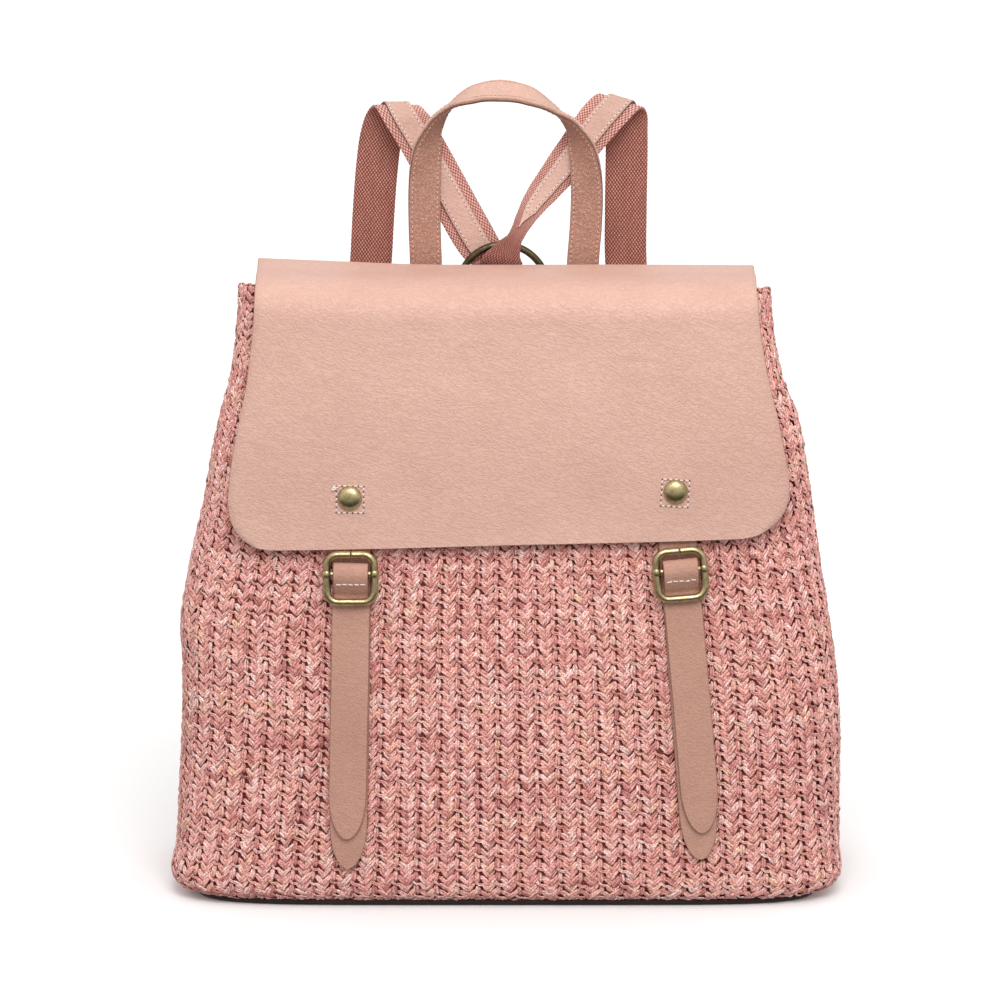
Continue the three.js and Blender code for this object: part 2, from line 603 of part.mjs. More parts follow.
const handleRows = [...sewnOnFlap(HANDLE_ENDS, HANDLE_T), ...stations(HANDLE), ...sewnOnFlap(HANDLE_ENDS_RIGHT, HANDLE_T)];
const strapRows = [...sewnOnBack(STRAP_ENDS_LEFT, WEB_T), ...stations(STRAP), ...sewnOnBack(STRAP_ENDS_RIGHT, WEB_T)];

// leather tab: two plies sewn on the flap, looped over the foot of the ring
function ringTab() {
  const lean = THREE.MathUtils.degToRad(RING_LEAN);
  const wireY = RING_AT.y + RING_R * Math.sin(lean), wireZ = RING_AT.z - RING_R * Math.cos(lean);
  const r = RING_WIRE + PLY_GAP + TAB_T / 2, rise = RING_R - Math.sqrt(RING_R ** 2 - TAB_HALF ** 2) + PLY_GAP;
  const inner = (z) => flapBackY(z) + PLY_GAP + TAB_T / 2;
  const side = [[inner(231), 231], [inner(240), 240]];
  for (let i = 0; i <= 8; i++) {
    const a = Math.PI * (1 - i / 8);
    side.push([wireY + r * Math.cos(a), wireZ + (r + rise) * Math.sin(a)]);
  }
  side.push([inner(241) + 2 * TAB_T, 241], [inner(231) + TAB_T + 0.5, 231]);
  const pts = side.map(([y, z]) => V(RING_AT.x, y, z));
  return flatRings(pts.map((p, i) => {
    const t = V(0, 0, 0).subVectors(pts[Math.min(i + 1, pts.length - 1)], pts[Math.max(i - 1, 0)]).normalize();
    const w = V(1, 0, 0);
    return { p, w, n: V(0, 0, 0).crossVectors(t, w).normalize(), half: TAB_HALF };
  }), TAB_T);
}

// ------------------------------------------------------------ materials and assembly
const finish = (color, roughness, metalness) => new THREE.MeshStandardMaterial({ color, roughness, metalness });
const STRAW = finish(0xcf988c, 0.8, 0);
const FLAP_LEATHER = finish(0xdfb29f, 0.55, 0);
const STRAP_LEATHER = finish(0xc39682, 0.65, 0);
const HANDLE_LEATHER = finish(0xe0b09a, 0.6, 0);
const WEBBING = finish(0xb87c70, 0.9, 0);
const BASE_LEATHER = finish(0xa87868, 0.7, 0);
const BRASS = finish(0x8f7b45, 0.35, 1);
const BRONZE = finish(0x4a3f2c, 0.4, 1);

const backpack = new THREE.Group();
function add(name, geometry, material) {
  const mesh = new THREE.Mesh(geometry, material);
  mesh.name = name;
  backpack.add(mesh);
  return mesh;
}

add('woven_body', wovenBody(), STRAW);
add('base_panel', basePanel(), BASE_LEATHER);
add('flap', flap(), FLAP_LEATHER);

for (const s of FRONT_STRAPS) {
  add(`strap_back_${s.side}`, backStrap(s), STRAP_LEATHER);
  add(`strap_front_${s.side}`, frontStrap(s), STRAP_LEATHER);
  const b = add(`buckle_${s.side}`, buckle(), BRASS);
  placeOnFront(b, s.buckle.x, s.buckle.z, BUCKLE_OUT, s.buckle.turn);
  const r = add(`rivet_${s.side}`, rivet(), BRASS);
  placeOnFront(r, s.rivet.x, s.rivet.z, FLAP_FRONT_GAP + FLAP_T + LAY_GAP, 0);
}

add('handle', strip(handleRows, HANDLE_HALF, HANDLE_T, { perRow: 2 }), HANDLE_LEATHER);

const ring = add('ring', new THREE.TorusGeometry(RING_R, RING_WIRE, 8, 36), BRONZE);
ring.position.set(RING_AT.x, RING_AT.y, RING_AT.z);
ring.rotation.x = Math.PI / 2 + THREE.MathUtils.degToRad(RING_LEAN);
add('ring_tab', ringTab(), STRAP_LEATHER);

const lastRow = strapRows.length - 1;
const stripLift = WEB_T / 2 + STRIP_GAP + STRIP_T / 2;
add('strap_left', strip(strapRows, WEB_HALF, WEB_T, { to: STRAP_MEET - 0.04 }), WEBBING);
// the right half lies other face out, so its crosswise direction starts reversed
const rightRows = strapRows.map((s, i) => (i <= STRAP_MEET ? { ...s, w: s.w.clone().negate() } : s));
add('strap_right', strip(rightRows, WEB_HALF, WEB_T, { from: STRAP_MEET + 0.04 }), WEBBING);
add('strap_leather_left', strip(strapRows, STRIP_HALF, STRIP_T,
  { from: STRIP_FROM, to: STRAP_MEET - STRIP_STOP, lift: stripLift }), HANDLE_LEATHER);
add('strap_leather_right', strip(rightRows, STRIP_HALF, STRIP_T,
  { from: STRAP_MEET + STRIP_PAST, to: lastRow - STRIP_FROM, lift: stripLift }), HANDLE_LEATHER);

export default backpack;
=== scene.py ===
import math

import bpy
import numpy as np
from mathutils import Matrix, Vector


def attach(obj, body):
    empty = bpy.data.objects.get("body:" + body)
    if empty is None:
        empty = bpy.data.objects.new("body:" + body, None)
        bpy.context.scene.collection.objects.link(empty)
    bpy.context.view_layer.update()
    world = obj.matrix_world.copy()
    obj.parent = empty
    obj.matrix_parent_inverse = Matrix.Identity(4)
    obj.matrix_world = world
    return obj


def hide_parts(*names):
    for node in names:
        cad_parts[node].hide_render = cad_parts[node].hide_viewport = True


# Looks of the woven backpack: knitted straw body, leatherette flap and straps,
# webbing shoulder strap, brass hardware. Lengths in this file are millimetres in
# the frame's axes and become metres when a mesh is made.
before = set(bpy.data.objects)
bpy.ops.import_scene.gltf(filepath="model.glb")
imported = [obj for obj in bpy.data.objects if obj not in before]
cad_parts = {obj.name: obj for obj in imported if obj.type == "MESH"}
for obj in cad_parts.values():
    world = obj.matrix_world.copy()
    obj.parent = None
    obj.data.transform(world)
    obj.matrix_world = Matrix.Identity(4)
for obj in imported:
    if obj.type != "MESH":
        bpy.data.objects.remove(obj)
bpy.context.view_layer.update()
MM = 0.001
rng = np.random.default_rng(20)


# ------------------------------------------------------------------ tables
def table(columns, rows):
    return {c: np.array([r[i] for r in rows], float) for i, c in enumerate(columns)}


BODY = table(["z", "left", "right", "front", "back", "power"], [
    [3.6, 149.0, 149.0, 57.5, 57.5, 6.4],
    [6.0, 153.4, 153.6, 60.4, 60.4, 6.3],
    [10.5, 156.4, 156.6, 62.2, 62.0, 6.1],
    [22, 154.2, 155.7, 62.4, 62.0, 5.6],
    [50, 152.6, 155.6, 61.4, 61.0, 5.0],
    [80, 150.9, 155.5, 59.6, 59.3, 4.7],
    [110, 150.4, 152.7, 57.2, 57.0, 4.6],
    [125, 151.2, 150.4, 55.8, 55.8, 4.6],
    [152, 146.9, 145.9, 53.0, 53.2, 4.6],
    [181, 140.3, 141.7, 49.2, 49.8, 4.7],
    [209, 135.6, 137.6, 45.4, 46.2, 4.8],
    [223, 132.3, 134.6, 43.4, 44.2, 4.8],
    [237, 128.4, 128.4, 41.3, 42.2, 4.9],
    [251, 125.6, 124.8, 39.2, 40.2, 5.0],
    [266, 123.8, 122.4, 37.2, 38.0, 5.0],
    [278, 122.9, 121.2, 35.6, 36.2, 5.0],
])
DENTS = [  # turn, z, depth, turn span, z span
    (0.0, 232, 2.2, 0.030, 46),
    (0.5, 232, 2.8, 0.030, 46),
    (0.585, 60, 2.0, 0.030, 40),
    (0.915, 95, -1.5, 0.030, 45),
    (0.25, 120, 3.0, 0.090, 80),
]
FLAP_WIDE = table(["z", "left", "right"], [
    [166, 106.0, 106.5], [167, 112.2, 112.0], [169.5, 117.2, 117.4], [173, 120.9, 121.8],
    [177.5, 123.6, 125.2], [184, 125.2, 127.2], [191, 125.3, 127.6], [206, 123.4, 125.2],
    [223.5, 119.9, 121.8], [238, 116.9, 118.3], [250, 115.3, 116.1], [266, 113.6, 113.9],
    [274, 113.4, 113.2], [280, 114.2, 114.2], [286, 115.9, 115.8],
])
FLAP_LIFT = table(["x", "lift"], [[-120, 3.4], [-72, 1.4], [-40, 0.2], [0, 0.0], [50, 0.1], [120, -0.2]])
FRONT_STRAPS = [
    dict(side="left", top=204, back_tip=20.0, front_tip=34.2,
         line=table(["z", "x", "peek"], [[20, -72.2, 0.6], [73, -70.9, 0.5], [141, -69.8, 0.2], [204, -69.9, 0.0]]),
         rivet=(-70.2, 189.1), buckle=(-69.9, 153.2, 0.4)),
    dict(side="right", top=206, back_tip=24.2, front_tip=37.0,
         line=table(["z", "x", "peek"], [[24, 88.8, -1.5], [52, 86.6, -1.2], [94, 83.2, -0.8], [141, 79.4, -0.3], [206, 74.4, 0.0]]),
         rivet=(75.9, 191.9), buckle=(78.2, 154.8, 4.6)),
]
LOOP = [[-5.0, 3.4], [-2.0, 3.36], [0, 3.35], [1.98, 4.17], [2.8, 6.15], [1.98, 8.13], [0, 8.95],
        [-2.0, 8.6], [-4.6, 7.2], [-7.2, 5.2], [-9.2, 3.6], [-11.2, 3.3], [-16, 3.3]]
HANDLE_ENDS = [[-37.0, 238], [-37.2, 256], [-37.4, 270]]
HANDLE = np.array([  # x, y, z, nx, ny, nz
    [-37.7, 40.6, 286, 0.0, 1.0, 0.0], [-38.2, 40.8, 303, -0.1, 1.0, 0.0],
    [-38.2, 41.4, 320, -0.2, 0.95, 0.1], [-37.2, 42.0, 335, -0.45, 0.8, 0.2],
    [-34.0, 42.0, 347.5, -0.75, 0.45, 0.45], [-27.0, 41.6, 357, -0.65, 0.1, 0.75],
    [-15.0, 41.2, 363.3, -0.25, -0.35, 0.85], [-2.8, 41.0, 365, 0.0, -0.5, 0.85],
    [10.0, 41.2, 362.8, 0.2, -0.4, 0.87], [22.0, 41.6, 356.5, 0.5, -0.05, 0.8],
    [31.5, 42.0, 348, 0.75, 0.35, 0.5], [36.4, 42.0, 335, 0.5, 0.75, 0.25],
    [37.9, 41.4, 319, 0.2, 0.95, 0.1], [37.5, 40.8, 302, 0.1, 1.0, 0.0],
    [36.3, 40.6, 286, 0.0, 1.0, 0.0],
])
HANDLE_ENDS_RIGHT = [[35.9, 270], [35.7, 256], [35.6, 238]]
STRAP_ENDS_LEFT = [[-107, 9.5], [-106, 26]]
STRAP = np.array([  # x, y, z, wx, wy, wz, half
    [-102.5, 65.0, 46, 1, 0, -0.2, 1], [-93.5, 72.4, 85, 1, 0, -0.2, 1],
    [-81, 76.0, 150, 1, 0, -0.17, 1], [-70.5, 74.0, 222, 1, 0, -0.12, 1],
    [-64.8, 70.4, 279, 1, 0, -0.08, 1], [-63.2, 69.3, 304, 1, 0, -0.07, 1],
    [-61.4, 69.0, 326, 1, 0, -0.1, 1], [-59.0, 68.0, 342.5, 1, 0, -0.12, 1],
    [-55.4, 65.4, 352.6, 1, 0, -0.04, 1.03], [-51.8, 60.6, 356.1, 1, 0, 0, 1.05],
    [-48.2, 56.0, 352.6, 0.97, 0, 0.15, 1.05], [-43.0, 54.2, 344.9, 0.88, 0, 0.45, 1],
    [-34.4, 51.0, 330.2, 0.85, 0, 0.5, 1], [-25.5, 48.9, 314.2, 0.86, 0, 0.5, 1],
    [-17.0, 48.6, 298.8, 0.88, 0, 0.45, 1], [-11.5, 48.6, 289.6, 0.95, 0, 0.3, 0.98],
    [-7.4, 47.2, 284.2, 1, 0, 0.1, 0.95], [-3.2, 42.4, 282.2, 0.97, 0, -0.2, 0.95],
    [-1.6, 39.6, 285.6, -0.977, 0, 0.213, 0.97], [1.0, 38.8, 291.2, -0.907, 0, 0.42, 0.61],
    [4.2, 38.9, 296.2, -0.86, 0, 0.5, 0.36], [6.5, 40.4, 300.4, -0.86, 0, 0.5, 0.38],
    [9.4, 43.0, 305.6, -0.87, 0, 0.5, 0.47], [13.5, 45.5, 311.9, -0.84, 0, 0.54, 0.60],
    [18.4, 47.4, 318.1, -0.8, 0, 0.6, 0.71], [31.0, 51.6, 333.4, -0.8, 0, 0.6, 0.9],
    [39.8, 54.8, 344.7, -0.78, 0, 0.6, 0.98], [47.2, 57.6, 353.2, -0.88, 0, 0.45, 1.05],
    [53.6, 61.8, 358.3, -0.94, 0, 0.30, 1.08], [56.6, 66.6, 354.2, -0.98, 0, 0.18, 1.04],
    [57.3, 68.6, 344, -1, 0, 0.04, 1], [57.4, 69.0, 329, -1, 0, 0, 1],
    [57.2, 69.3, 305, -1, 0, 0, 1], [57.6, 70.4, 279, -1, 0, 0.05, 1],
    [64.5, 74.0, 222, -1, 0, 0.14, 1], [77, 76.0, 150, -1, 0, 0.18, 1],
    [91.5, 72.4, 85, -1, 0, 0.2, 1], [101.5, 65.0, 46, -1, 0, 0.2, 1],
])
STRAP_ENDS_RIGHT = [[105.5, 26], [106.5, 9.5]]
STRAP_MEET, STRIP_FROM, STRIP_STOP, STRIP_PAST = 19, 0.25, 2, 4

WALL_T, BASE_T, SEAM_GAP = 3.0, 3.0, 0.6
FLAP_T, FLAP_FRONT_GAP, FLAP_TOP_Z, FLAP_BACK_Z = 2.0, 2.8, 282.8, 226.0
FLAP_BEND_BACK, FLAP_BEND_FRONT, FLAP_SIDE_WRAP, FLAP_SAG = 8.0, 12.0, 4.5, 0.8
FLAP_EDGE_Z, FLAP_EDGE_TILT = 168.1, 0.0245
BACK_STRAP_T, FRONT_STRAP_T, STRAP_HALF, LOOP_HALF, TIP_LEN = 1.8, 1.6, 8.6, 7.9, 21.0
LAY_GAP, PLY_GAP = 0.4, 0.3
BUCKLE_W, BUCKLE_H, BUCKLE_WIRE, BUCKLE_CORNER = 25.0, 25.0, 1.75, 5.2
BAR_R, NUB_R, BAR_UP, BUCKLE_OUT, RIVET_R = 1.4, 2.15, 1.9, 6.15, 5.5
HANDLE_T, HANDLE_HALF = 2.8, 7.5
WEB_T, WEB_HALF, STRIP_T, STRIP_HALF, STRIP_GAP = 1.8, 10.0, 1.2, 5.5, 0.45
RING_R, RING_WIRE, RING_AT, RING_LEAN = 20.8, 1.7, (-1.4, 44.6, 272.0), 5.5
TAB_T, TAB_HALF = 1.4, 6.0


# ------------------------------------------------------------------ small helpers
def along(t, key, name):
    """Smooth value of one column of a table along another."""
    x, y = t[key], t[name]
    k = np.arange(len(x))
    i0, i1 = np.maximum(k - 1, 0), np.minimum(k + 1, len(x) - 1)
    m = (y[i1] - y[i0]) / (x[i1] - x[i0])

    def f(v):
        v = np.clip(np.asarray(v, float), x[0], x[-1])
        i = np.clip(np.searchsorted(x, v) - 1, 0, len(x) - 2)
        h = x[i + 1] - x[i]
        s = (v - x[i]) / h
        s2, s3 = s * s, s * s * s
        return ((2 * s3 - 3 * s2 + 1) * y[i] + (s3 - 2 * s2 + s) * h * m[i]
                + (3 * s2 - 2 * s3) * y[i + 1] + (s3 - s2) * h * m[i + 1])
    return f


def unit(v):
    v = np.asarray(v, float)
    return v / np.maximum(np.linalg.norm(v, axis=-1, keepdims=True), 1e-12)


class Curve:
    """Centripetal curve through points, by row number; other columns ride along smoothly."""

    def __init__(self, points):
        self.p = np.asarray(points, float)
        self.q = np.vstack([2 * self.p[0] - self.p[1], self.p, 2 * self.p[-1] - self.p[-2]])

    def _coeffs(self, r):
        last = len(self.p) - 1
        k = np.clip(np.floor(r).astype(int), 0, last - 1)
        p0, p1, p2, p3 = (self.q[k + i] for i in range(4))
        d = [np.maximum(np.sum((b - a) ** 2, 1) ** 0.25, 1e-4)[:, None] for a, b in ((p0, p1), (p1, p2), (p2, p3))]
        t1 = ((p1 - p0) / d[0] - (p2 - p0) / (d[0] + d[1]) + (p2 - p1) / d[1]) * d[1]
        t2 = ((p2 - p1) / d[1] - (p3 - p1) / (d[1] + d[2]) + (p3 - p2) / d[2]) * d[1]
        return (r - k)[:, None], p1, t1, -3 * p1 + 3 * p2 - 2 * t1 - t2, 2 * p1 - 2 * p2 + t1 + t2

    def at(self, r):
        s, c0, c1, c2, c3 = self._coeffs(np.asarray(r, float))
        return c0 + s * (c1 + s * (c2 + s * c3))

    def tangent(self, r):
        s, c0, c1, c2, c3 = self._coeffs(np.asarray(r, float))
        return unit(c1 + s * (2 * c2 + s * 3 * c3))


def rows_even(curve, a, b, step):
    """Row numbers from a to b about `step` mm apart along the curve."""
    fine = np.linspace(a, b, 2000)
    p = curve.at(fine)
    ln = np.concatenate([[0], np.cumsum(np.linalg.norm(np.diff(p, axis=0), axis=1))])
    n = max(2, int(round(ln[-1] / step)))
    return np.interp(np.linspace(0, ln[-1], n + 1), ln, fine)


def ease(rows, values, r):
    """Smooth column value at fractional rows."""
    k = np.clip(np.floor(r).astype(int), 0, len(values) - 2)
    f = r - k
    f = (f * f * (3 - 2 * f) * 0.5 + f * 0.5)
    f = f[:, None] if np.ndim(values) > 1 else f
    return values[k] * (1 - f) + values[k + 1] * f


# ------------------------------------------------------------------ meshes
def make(name, co, faces, mat, uv=None, attrs=None, smooth=True, node=None, slot=None, sharp=None):
    """A piece from points (mm) and faces (arrays of quads or triangles, or lists)."""
    me = bpy.data.meshes.new(name)
    groups = [np.asarray(f, np.int32) for f in (faces if isinstance(faces, (list, tuple)) else [faces])]
    groups = [g for g in groups if len(g)]
    loops = np.concatenate([g.ravel() for g in groups])
    sizes = np.concatenate([np.full(len(g), g.shape[1], np.int32) for g in groups])
    starts = np.concatenate([[0], np.cumsum(sizes)[:-1]]).astype(np.int32)
    me.vertices.add(len(co))
    me.vertices.foreach_set("co", (np.asarray(co, float) * MM).astype(np.float32).ravel())
    me.loops.add(len(loops))
    me.loops.foreach_set("vertex_index", loops)
    me.polygons.add(len(sizes))
    me.polygons.foreach_set("loop_start", starts)
    me.polygons.foreach_set("use_smooth", np.full(len(sizes), smooth))
    if uv is not None:
        layer = me.uv_layers.new(name="UVMap")
        layer.data.foreach_set("uv", np.asarray(uv, np.float32)[loops].ravel())
    for key, val in (attrs or {}).items():
        at = me.attributes.new(key, "FLOAT", "POINT")
        at.data.foreach_set("value", np.asarray(val, np.float32))
    me.update(calc_edges=True)
    me.validate()
    if sharp is not None:
        me.set_sharp_from_angle(angle=math.radians(sharp))
    ob = bpy.data.objects.new(name, me)
    bpy.context.scene.collection.objects.link(ob)
    me.materials.append(mat)
    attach(ob, "root")
    if node:
        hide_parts(*([node] if isinstance(node, str) else node))
    return ob


def grid_faces(rows, cols, wrap_cols=False, wrap_rows=False, flip=False):
    i = np.arange(rows if wrap_rows else rows - 1)
    j = np.arange(cols if wrap_cols else cols - 1)
    i, j = np.meshgrid(i, j, indexing="ij")
    i, j = i.ravel(), j.ravel()
    i1, j1 = (i + 1) % rows, (j + 1) % cols
    q = np.stack([i * cols + j, i * cols + j1, i1 * cols + j1, i1 * cols + j], 1)
    return q[:, ::-1] if flip else q


def band_profile(half, thick, n=10, edge=None):
    """Closed outline of a flat strip with rounded edges: across, off the face; top left to right, then back."""
    r = min(thick / 2, half) if edge is None else edge
    xs = np.concatenate([-half + r * (1 - np.cos(np.linspace(0, math.pi / 2, 4)[:-1])),
                         np.linspace(-half + r, half - r, n + 1),
                         half - r * (1 - np.cos(np.linspace(0, math.pi / 2, 4)[:-1]))[::-1]])
    over = np.maximum(np.abs(xs) - (half - r), 0) / r
    ys = thick / 2 - r + r * np.sqrt(np.maximum(0, 1 - over ** 2))
    top = np.stack([xs, ys], 1)
    bottom = np.stack([xs, -ys], 1)[::-1]
    if r >= thick / 2 - 1e-9:
        bottom = bottom[1:-1]
    return np.vstack([top, bottom])


def swept(p, w, n, outline, scale=None, tall=None, cap=True):
    """Rings of an outline along stations; returns points, faces, uv (mm along, mm across) and side places."""
    k, m = len(p), len(outline)
    sx = np.ones(k) if scale is None else np.asarray(scale, float)
    sy = np.ones(k) if tall is None else np.asarray(tall, float)
    co = (p[:, None, :] + outline[None, :, 0:1] * sx[:, None, None] * w[:, None, :]
          + outline[None, :, 1:2] * sy[:, None, None] * n[:, None, :])
    ln = np.concatenate([[0], np.cumsum(np.linalg.norm(np.diff(p, axis=0), axis=1))])
    u = np.repeat(ln, m)
    v = np.tile(outline[:, 0] + np.where(outline[:, 1] < 0, 40.0, 0.0), k)
    side = np.tile(outline[:, 0] / np.abs(outline[:, 0]).max(), k)
    faces = [grid_faces(k, m, wrap_cols=True)]
    if cap:
        mid0, mid1 = co[0].mean(0), co[-1].mean(0)
        base = k * m
        co = np.vstack([co.reshape(-1, 3), mid0, mid1])
        j = np.arange(m)
        faces.append(np.stack([np.full(m, base), (j + 1) % m, j], 1))
        faces.append(np.stack([np.full(m, base + 1), (k - 1) * m + j, (k - 1) * m + (j + 1) % m], 1))
        u = np.concatenate([u, [0, ln[-1]]])
        v = np.concatenate([v, [0, 0]])
        side = np.concatenate([side, [0, 0]])
    else:
        co = co.reshape(-1, 3)
    return co, faces, np.stack([u, v], 1), side


def outward(co, faces):
    """Faces turned so that the closed mesh's volume is positive."""
    vol = 0.0
    for f in faces:
        a = co[f[:, 0]]
        for i in range(1, f.shape[1] - 1):
            vol += np.einsum("ij,ij->", a, np.cross(co[f[:, i]], co[f[:, i + 1]]))
    return [f[:, ::-1] for f in faces] if vol < 0 else faces


class Heap:
    """Collects many small closed shapes into one mesh."""

    def __init__(self):
        self.co, self.faces, self.uv, self.n = [], {3: [], 4: []}, [], 0

    def add(self, co, faces, uv=None):
        for f in outward(co, faces):
            self.faces[f.shape[1]].append(f + self.n)
        self.co.append(co)
        self.uv.append(np.zeros((len(co), 2)) if uv is None else uv)
        self.n += len(co)

    def make(self, name, mat, **kw):
        faces = [np.vstack(v) for v in self.faces.values() if v]
        return make(name, np.vstack(self.co), faces, mat, uv=np.vstack(self.uv), **kw)


# ------------------------------------------------------------------ materials
def node(nt, kind, ins=None, **props):
    n = nt.nodes.new(kind)
    for k, v in props.items():
        setattr(n, k, v)
    for k, v in (ins or {}).items():
        if isinstance(v, bpy.types.NodeSocket):
            nt.links.new(v, n.inputs[k])
        else:
            n.inputs[k].default_value = v
    return n


def maths(nt, op, a, b=None, c=None, clamp=False):
    n = nt.nodes.new("ShaderNodeMath")
    n.operation, n.use_clamp = op, clamp
    for i, v in enumerate((a, b, c)):
        if v is None:
            continue
        if isinstance(v, bpy.types.NodeSocket):
            nt.links.new(v, n.inputs[i])
        else:
            n.inputs[i].default_value = v
    return n.outputs[0]


def lin(r, g, b):
    """Screen colour 0-255 to a linear colour."""
    f = lambda c: c / 12.92 if c <= 0.04045 else ((c + 0.055) / 1.055) ** 2.4
    return (f(r / 255), f(g / 255), f(b / 255), 1.0)


def ramp(nt, fac, stops, interpolation="LINEAR"):
    n = nt.nodes.new("ShaderNodeValToRGB")
    n.color_ramp.interpolation = interpolation
    el = n.color_ramp.elements
    while len(el) < len(stops):
        el.new(0.5)
    for e, (pos, col) in zip(el, stops):
        e.position, e.color = pos, col
    nt.links.new(fac, n.inputs[0])
    return n.outputs[0]


def mix(nt, fac, a, b, blend="MIX"):
    n = nt.nodes.new("ShaderNodeMix")
    n.data_type, n.blend_type = "RGBA", blend
    for sock, v in ((n.inputs[0], fac), (n.inputs[6], a), (n.inputs[7], b)):
        if isinstance(v, bpy.types.NodeSocket):
            nt.links.new(v, sock)
        else:
            sock.default_value = v
    return n.outputs[2]


def new_material(name, rough=0.6, metal=0.0, spec=0.5):
    m = bpy.data.materials.new(name)
    m.use_nodes = True
    nt = m.node_tree
    nt.nodes.clear()
    out = nt.nodes.new("ShaderNodeOutputMaterial")
    sh = nt.nodes.new("ShaderNodeBsdfPrincipled")
    nt.links.new(sh.outputs[0], out.inputs[0])
    sh.inputs["Roughness"].default_value = rough
    sh.inputs["Metallic"].default_value = metal
    sh.inputs["Specular IOR Level"].default_value = spec
    return m, nt, sh


def object_mm(nt, scale=(1, 1, 1), turn=(0, 0, 0)):
    """The object's own place in millimetres, turned, then stretched."""
    tc = node(nt, "ShaderNodeTexCoord")
    mp = node(nt, "ShaderNodeMapping", {"Vector": tc.outputs["Object"], "Scale": (1000, 1000, 1000), "Rotation": turn}).outputs[0]
    if tuple(scale) == (1, 1, 1):
        return mp
    return node(nt, "ShaderNodeMapping", {"Vector": mp, "Scale": scale}).outputs[0]


def uv_mm(nt, scale=(1, 1, 1), turn=0.0):
    vec = node(nt, "ShaderNodeTexCoord").outputs["UV"]
    if turn:
        vec = node(nt, "ShaderNodeMapping", {"Vector": vec, "Rotation": (0, 0, turn)}).outputs[0]
    return node(nt, "ShaderNodeMapping", {"Vector": vec, "Scale": scale}).outputs[0]


def noise(nt, vec, scale, detail=2.0, rough=0.5, distortion=0.0):
    return node(nt, "ShaderNodeTexNoise", {"Vector": vec, "Scale": scale, "Detail": detail, "Roughness": rough, "Distortion": distortion}).outputs["Fac"]


def straw_material():
    m, nt, sh = new_material("straw", rough=0.52, spec=0.4)
    tint = node(nt, "ShaderNodeAttribute", attribute_name="tint").outputs["Fac"]
    base = ramp(nt, tint, [
        (0.00, lin(202, 132, 126)), (0.16, lin(228, 162, 153)), (0.34, lin(243, 183, 172)), (0.50, lin(250, 198, 188)),
        (0.62, lin(255, 222, 213)), (0.74, lin(250, 188, 168)), (0.87, lin(247, 211, 182)), (1.00, lin(232, 164, 142))])
    streak = noise(nt, uv_mm(nt, (0.28, 1.9, 1), 0.42), 1.0, 3.0, 0.66)
    fleck = noise(nt, uv_mm(nt, (0.5, 1.6, 1)), 1.0, 2.0, 0.5)
    tone = ramp(nt, streak, [(0.33, (0.64, 0.40, 0.385, 1)), (0.44, (0.95, 0.82, 0.81, 1)), (0.53, (1.05, 1.02, 1.02, 1)), (0.65, (1.30, 1.40, 1.42, 1))])
    col = mix(nt, 1.0, base, tone, "MULTIPLY")
    frizz = noise(nt, uv_mm(nt, (0.75, 1.5, 1), -0.7), 1.0, 2.0, 0.6)
    col = mix(nt, 1.0, col, ramp(nt, frizz, [(0.33, (0.72, 0.50, 0.48, 1)), (0.47, (1.01, 0.97, 0.97, 1)), (0.64, (1.22, 1.29, 1.30, 1))]), "MULTIPLY")
    tan = ramp(nt, fleck, [(0.55, (0, 0, 0, 1)), (0.72, (1, 1, 1, 1))])
    col = mix(nt, maths(nt, "MULTIPLY", tan, 0.35), col, lin(236, 194, 164))
    nt.links.new(col, sh.inputs["Base Color"])
    height = maths(nt, "MULTIPLY_ADD", frizz, 0.45, streak)
    bump = node(nt, "ShaderNodeBump", {"Height": height, "Strength": 0.8, "Distance": 0.0009})
    nt.links.new(bump.outputs[0], sh.inputs["Normal"])
    nt.links.new(ramp(nt, streak, [(0.3, (0.72, 0.72, 0.72, 1)), (0.7, (0.40, 0.40, 0.40, 1))]), sh.inputs["Roughness"])
    sh.inputs["Sheen Weight"].default_value = 0.06
    return m


def core_material():
    m, nt, sh = new_material("straw_inside", rough=0.9, spec=0.15)
    n1 = noise(nt, object_mm(nt), 0.35, 3.0)
    # painted shade: the dark red-brown stands for the shade seen through the knit's holes
    nt.links.new(ramp(nt, n1, [(0.35, lin(116, 48, 42)), (0.65, lin(152, 74, 65))]), sh.inputs["Base Color"])
    bump = node(nt, "ShaderNodeBump", {"Height": n1, "Strength": 0.4, "Distance": 0.0006})
    nt.links.new(bump.outputs[0], sh.inputs["Normal"])
    return m


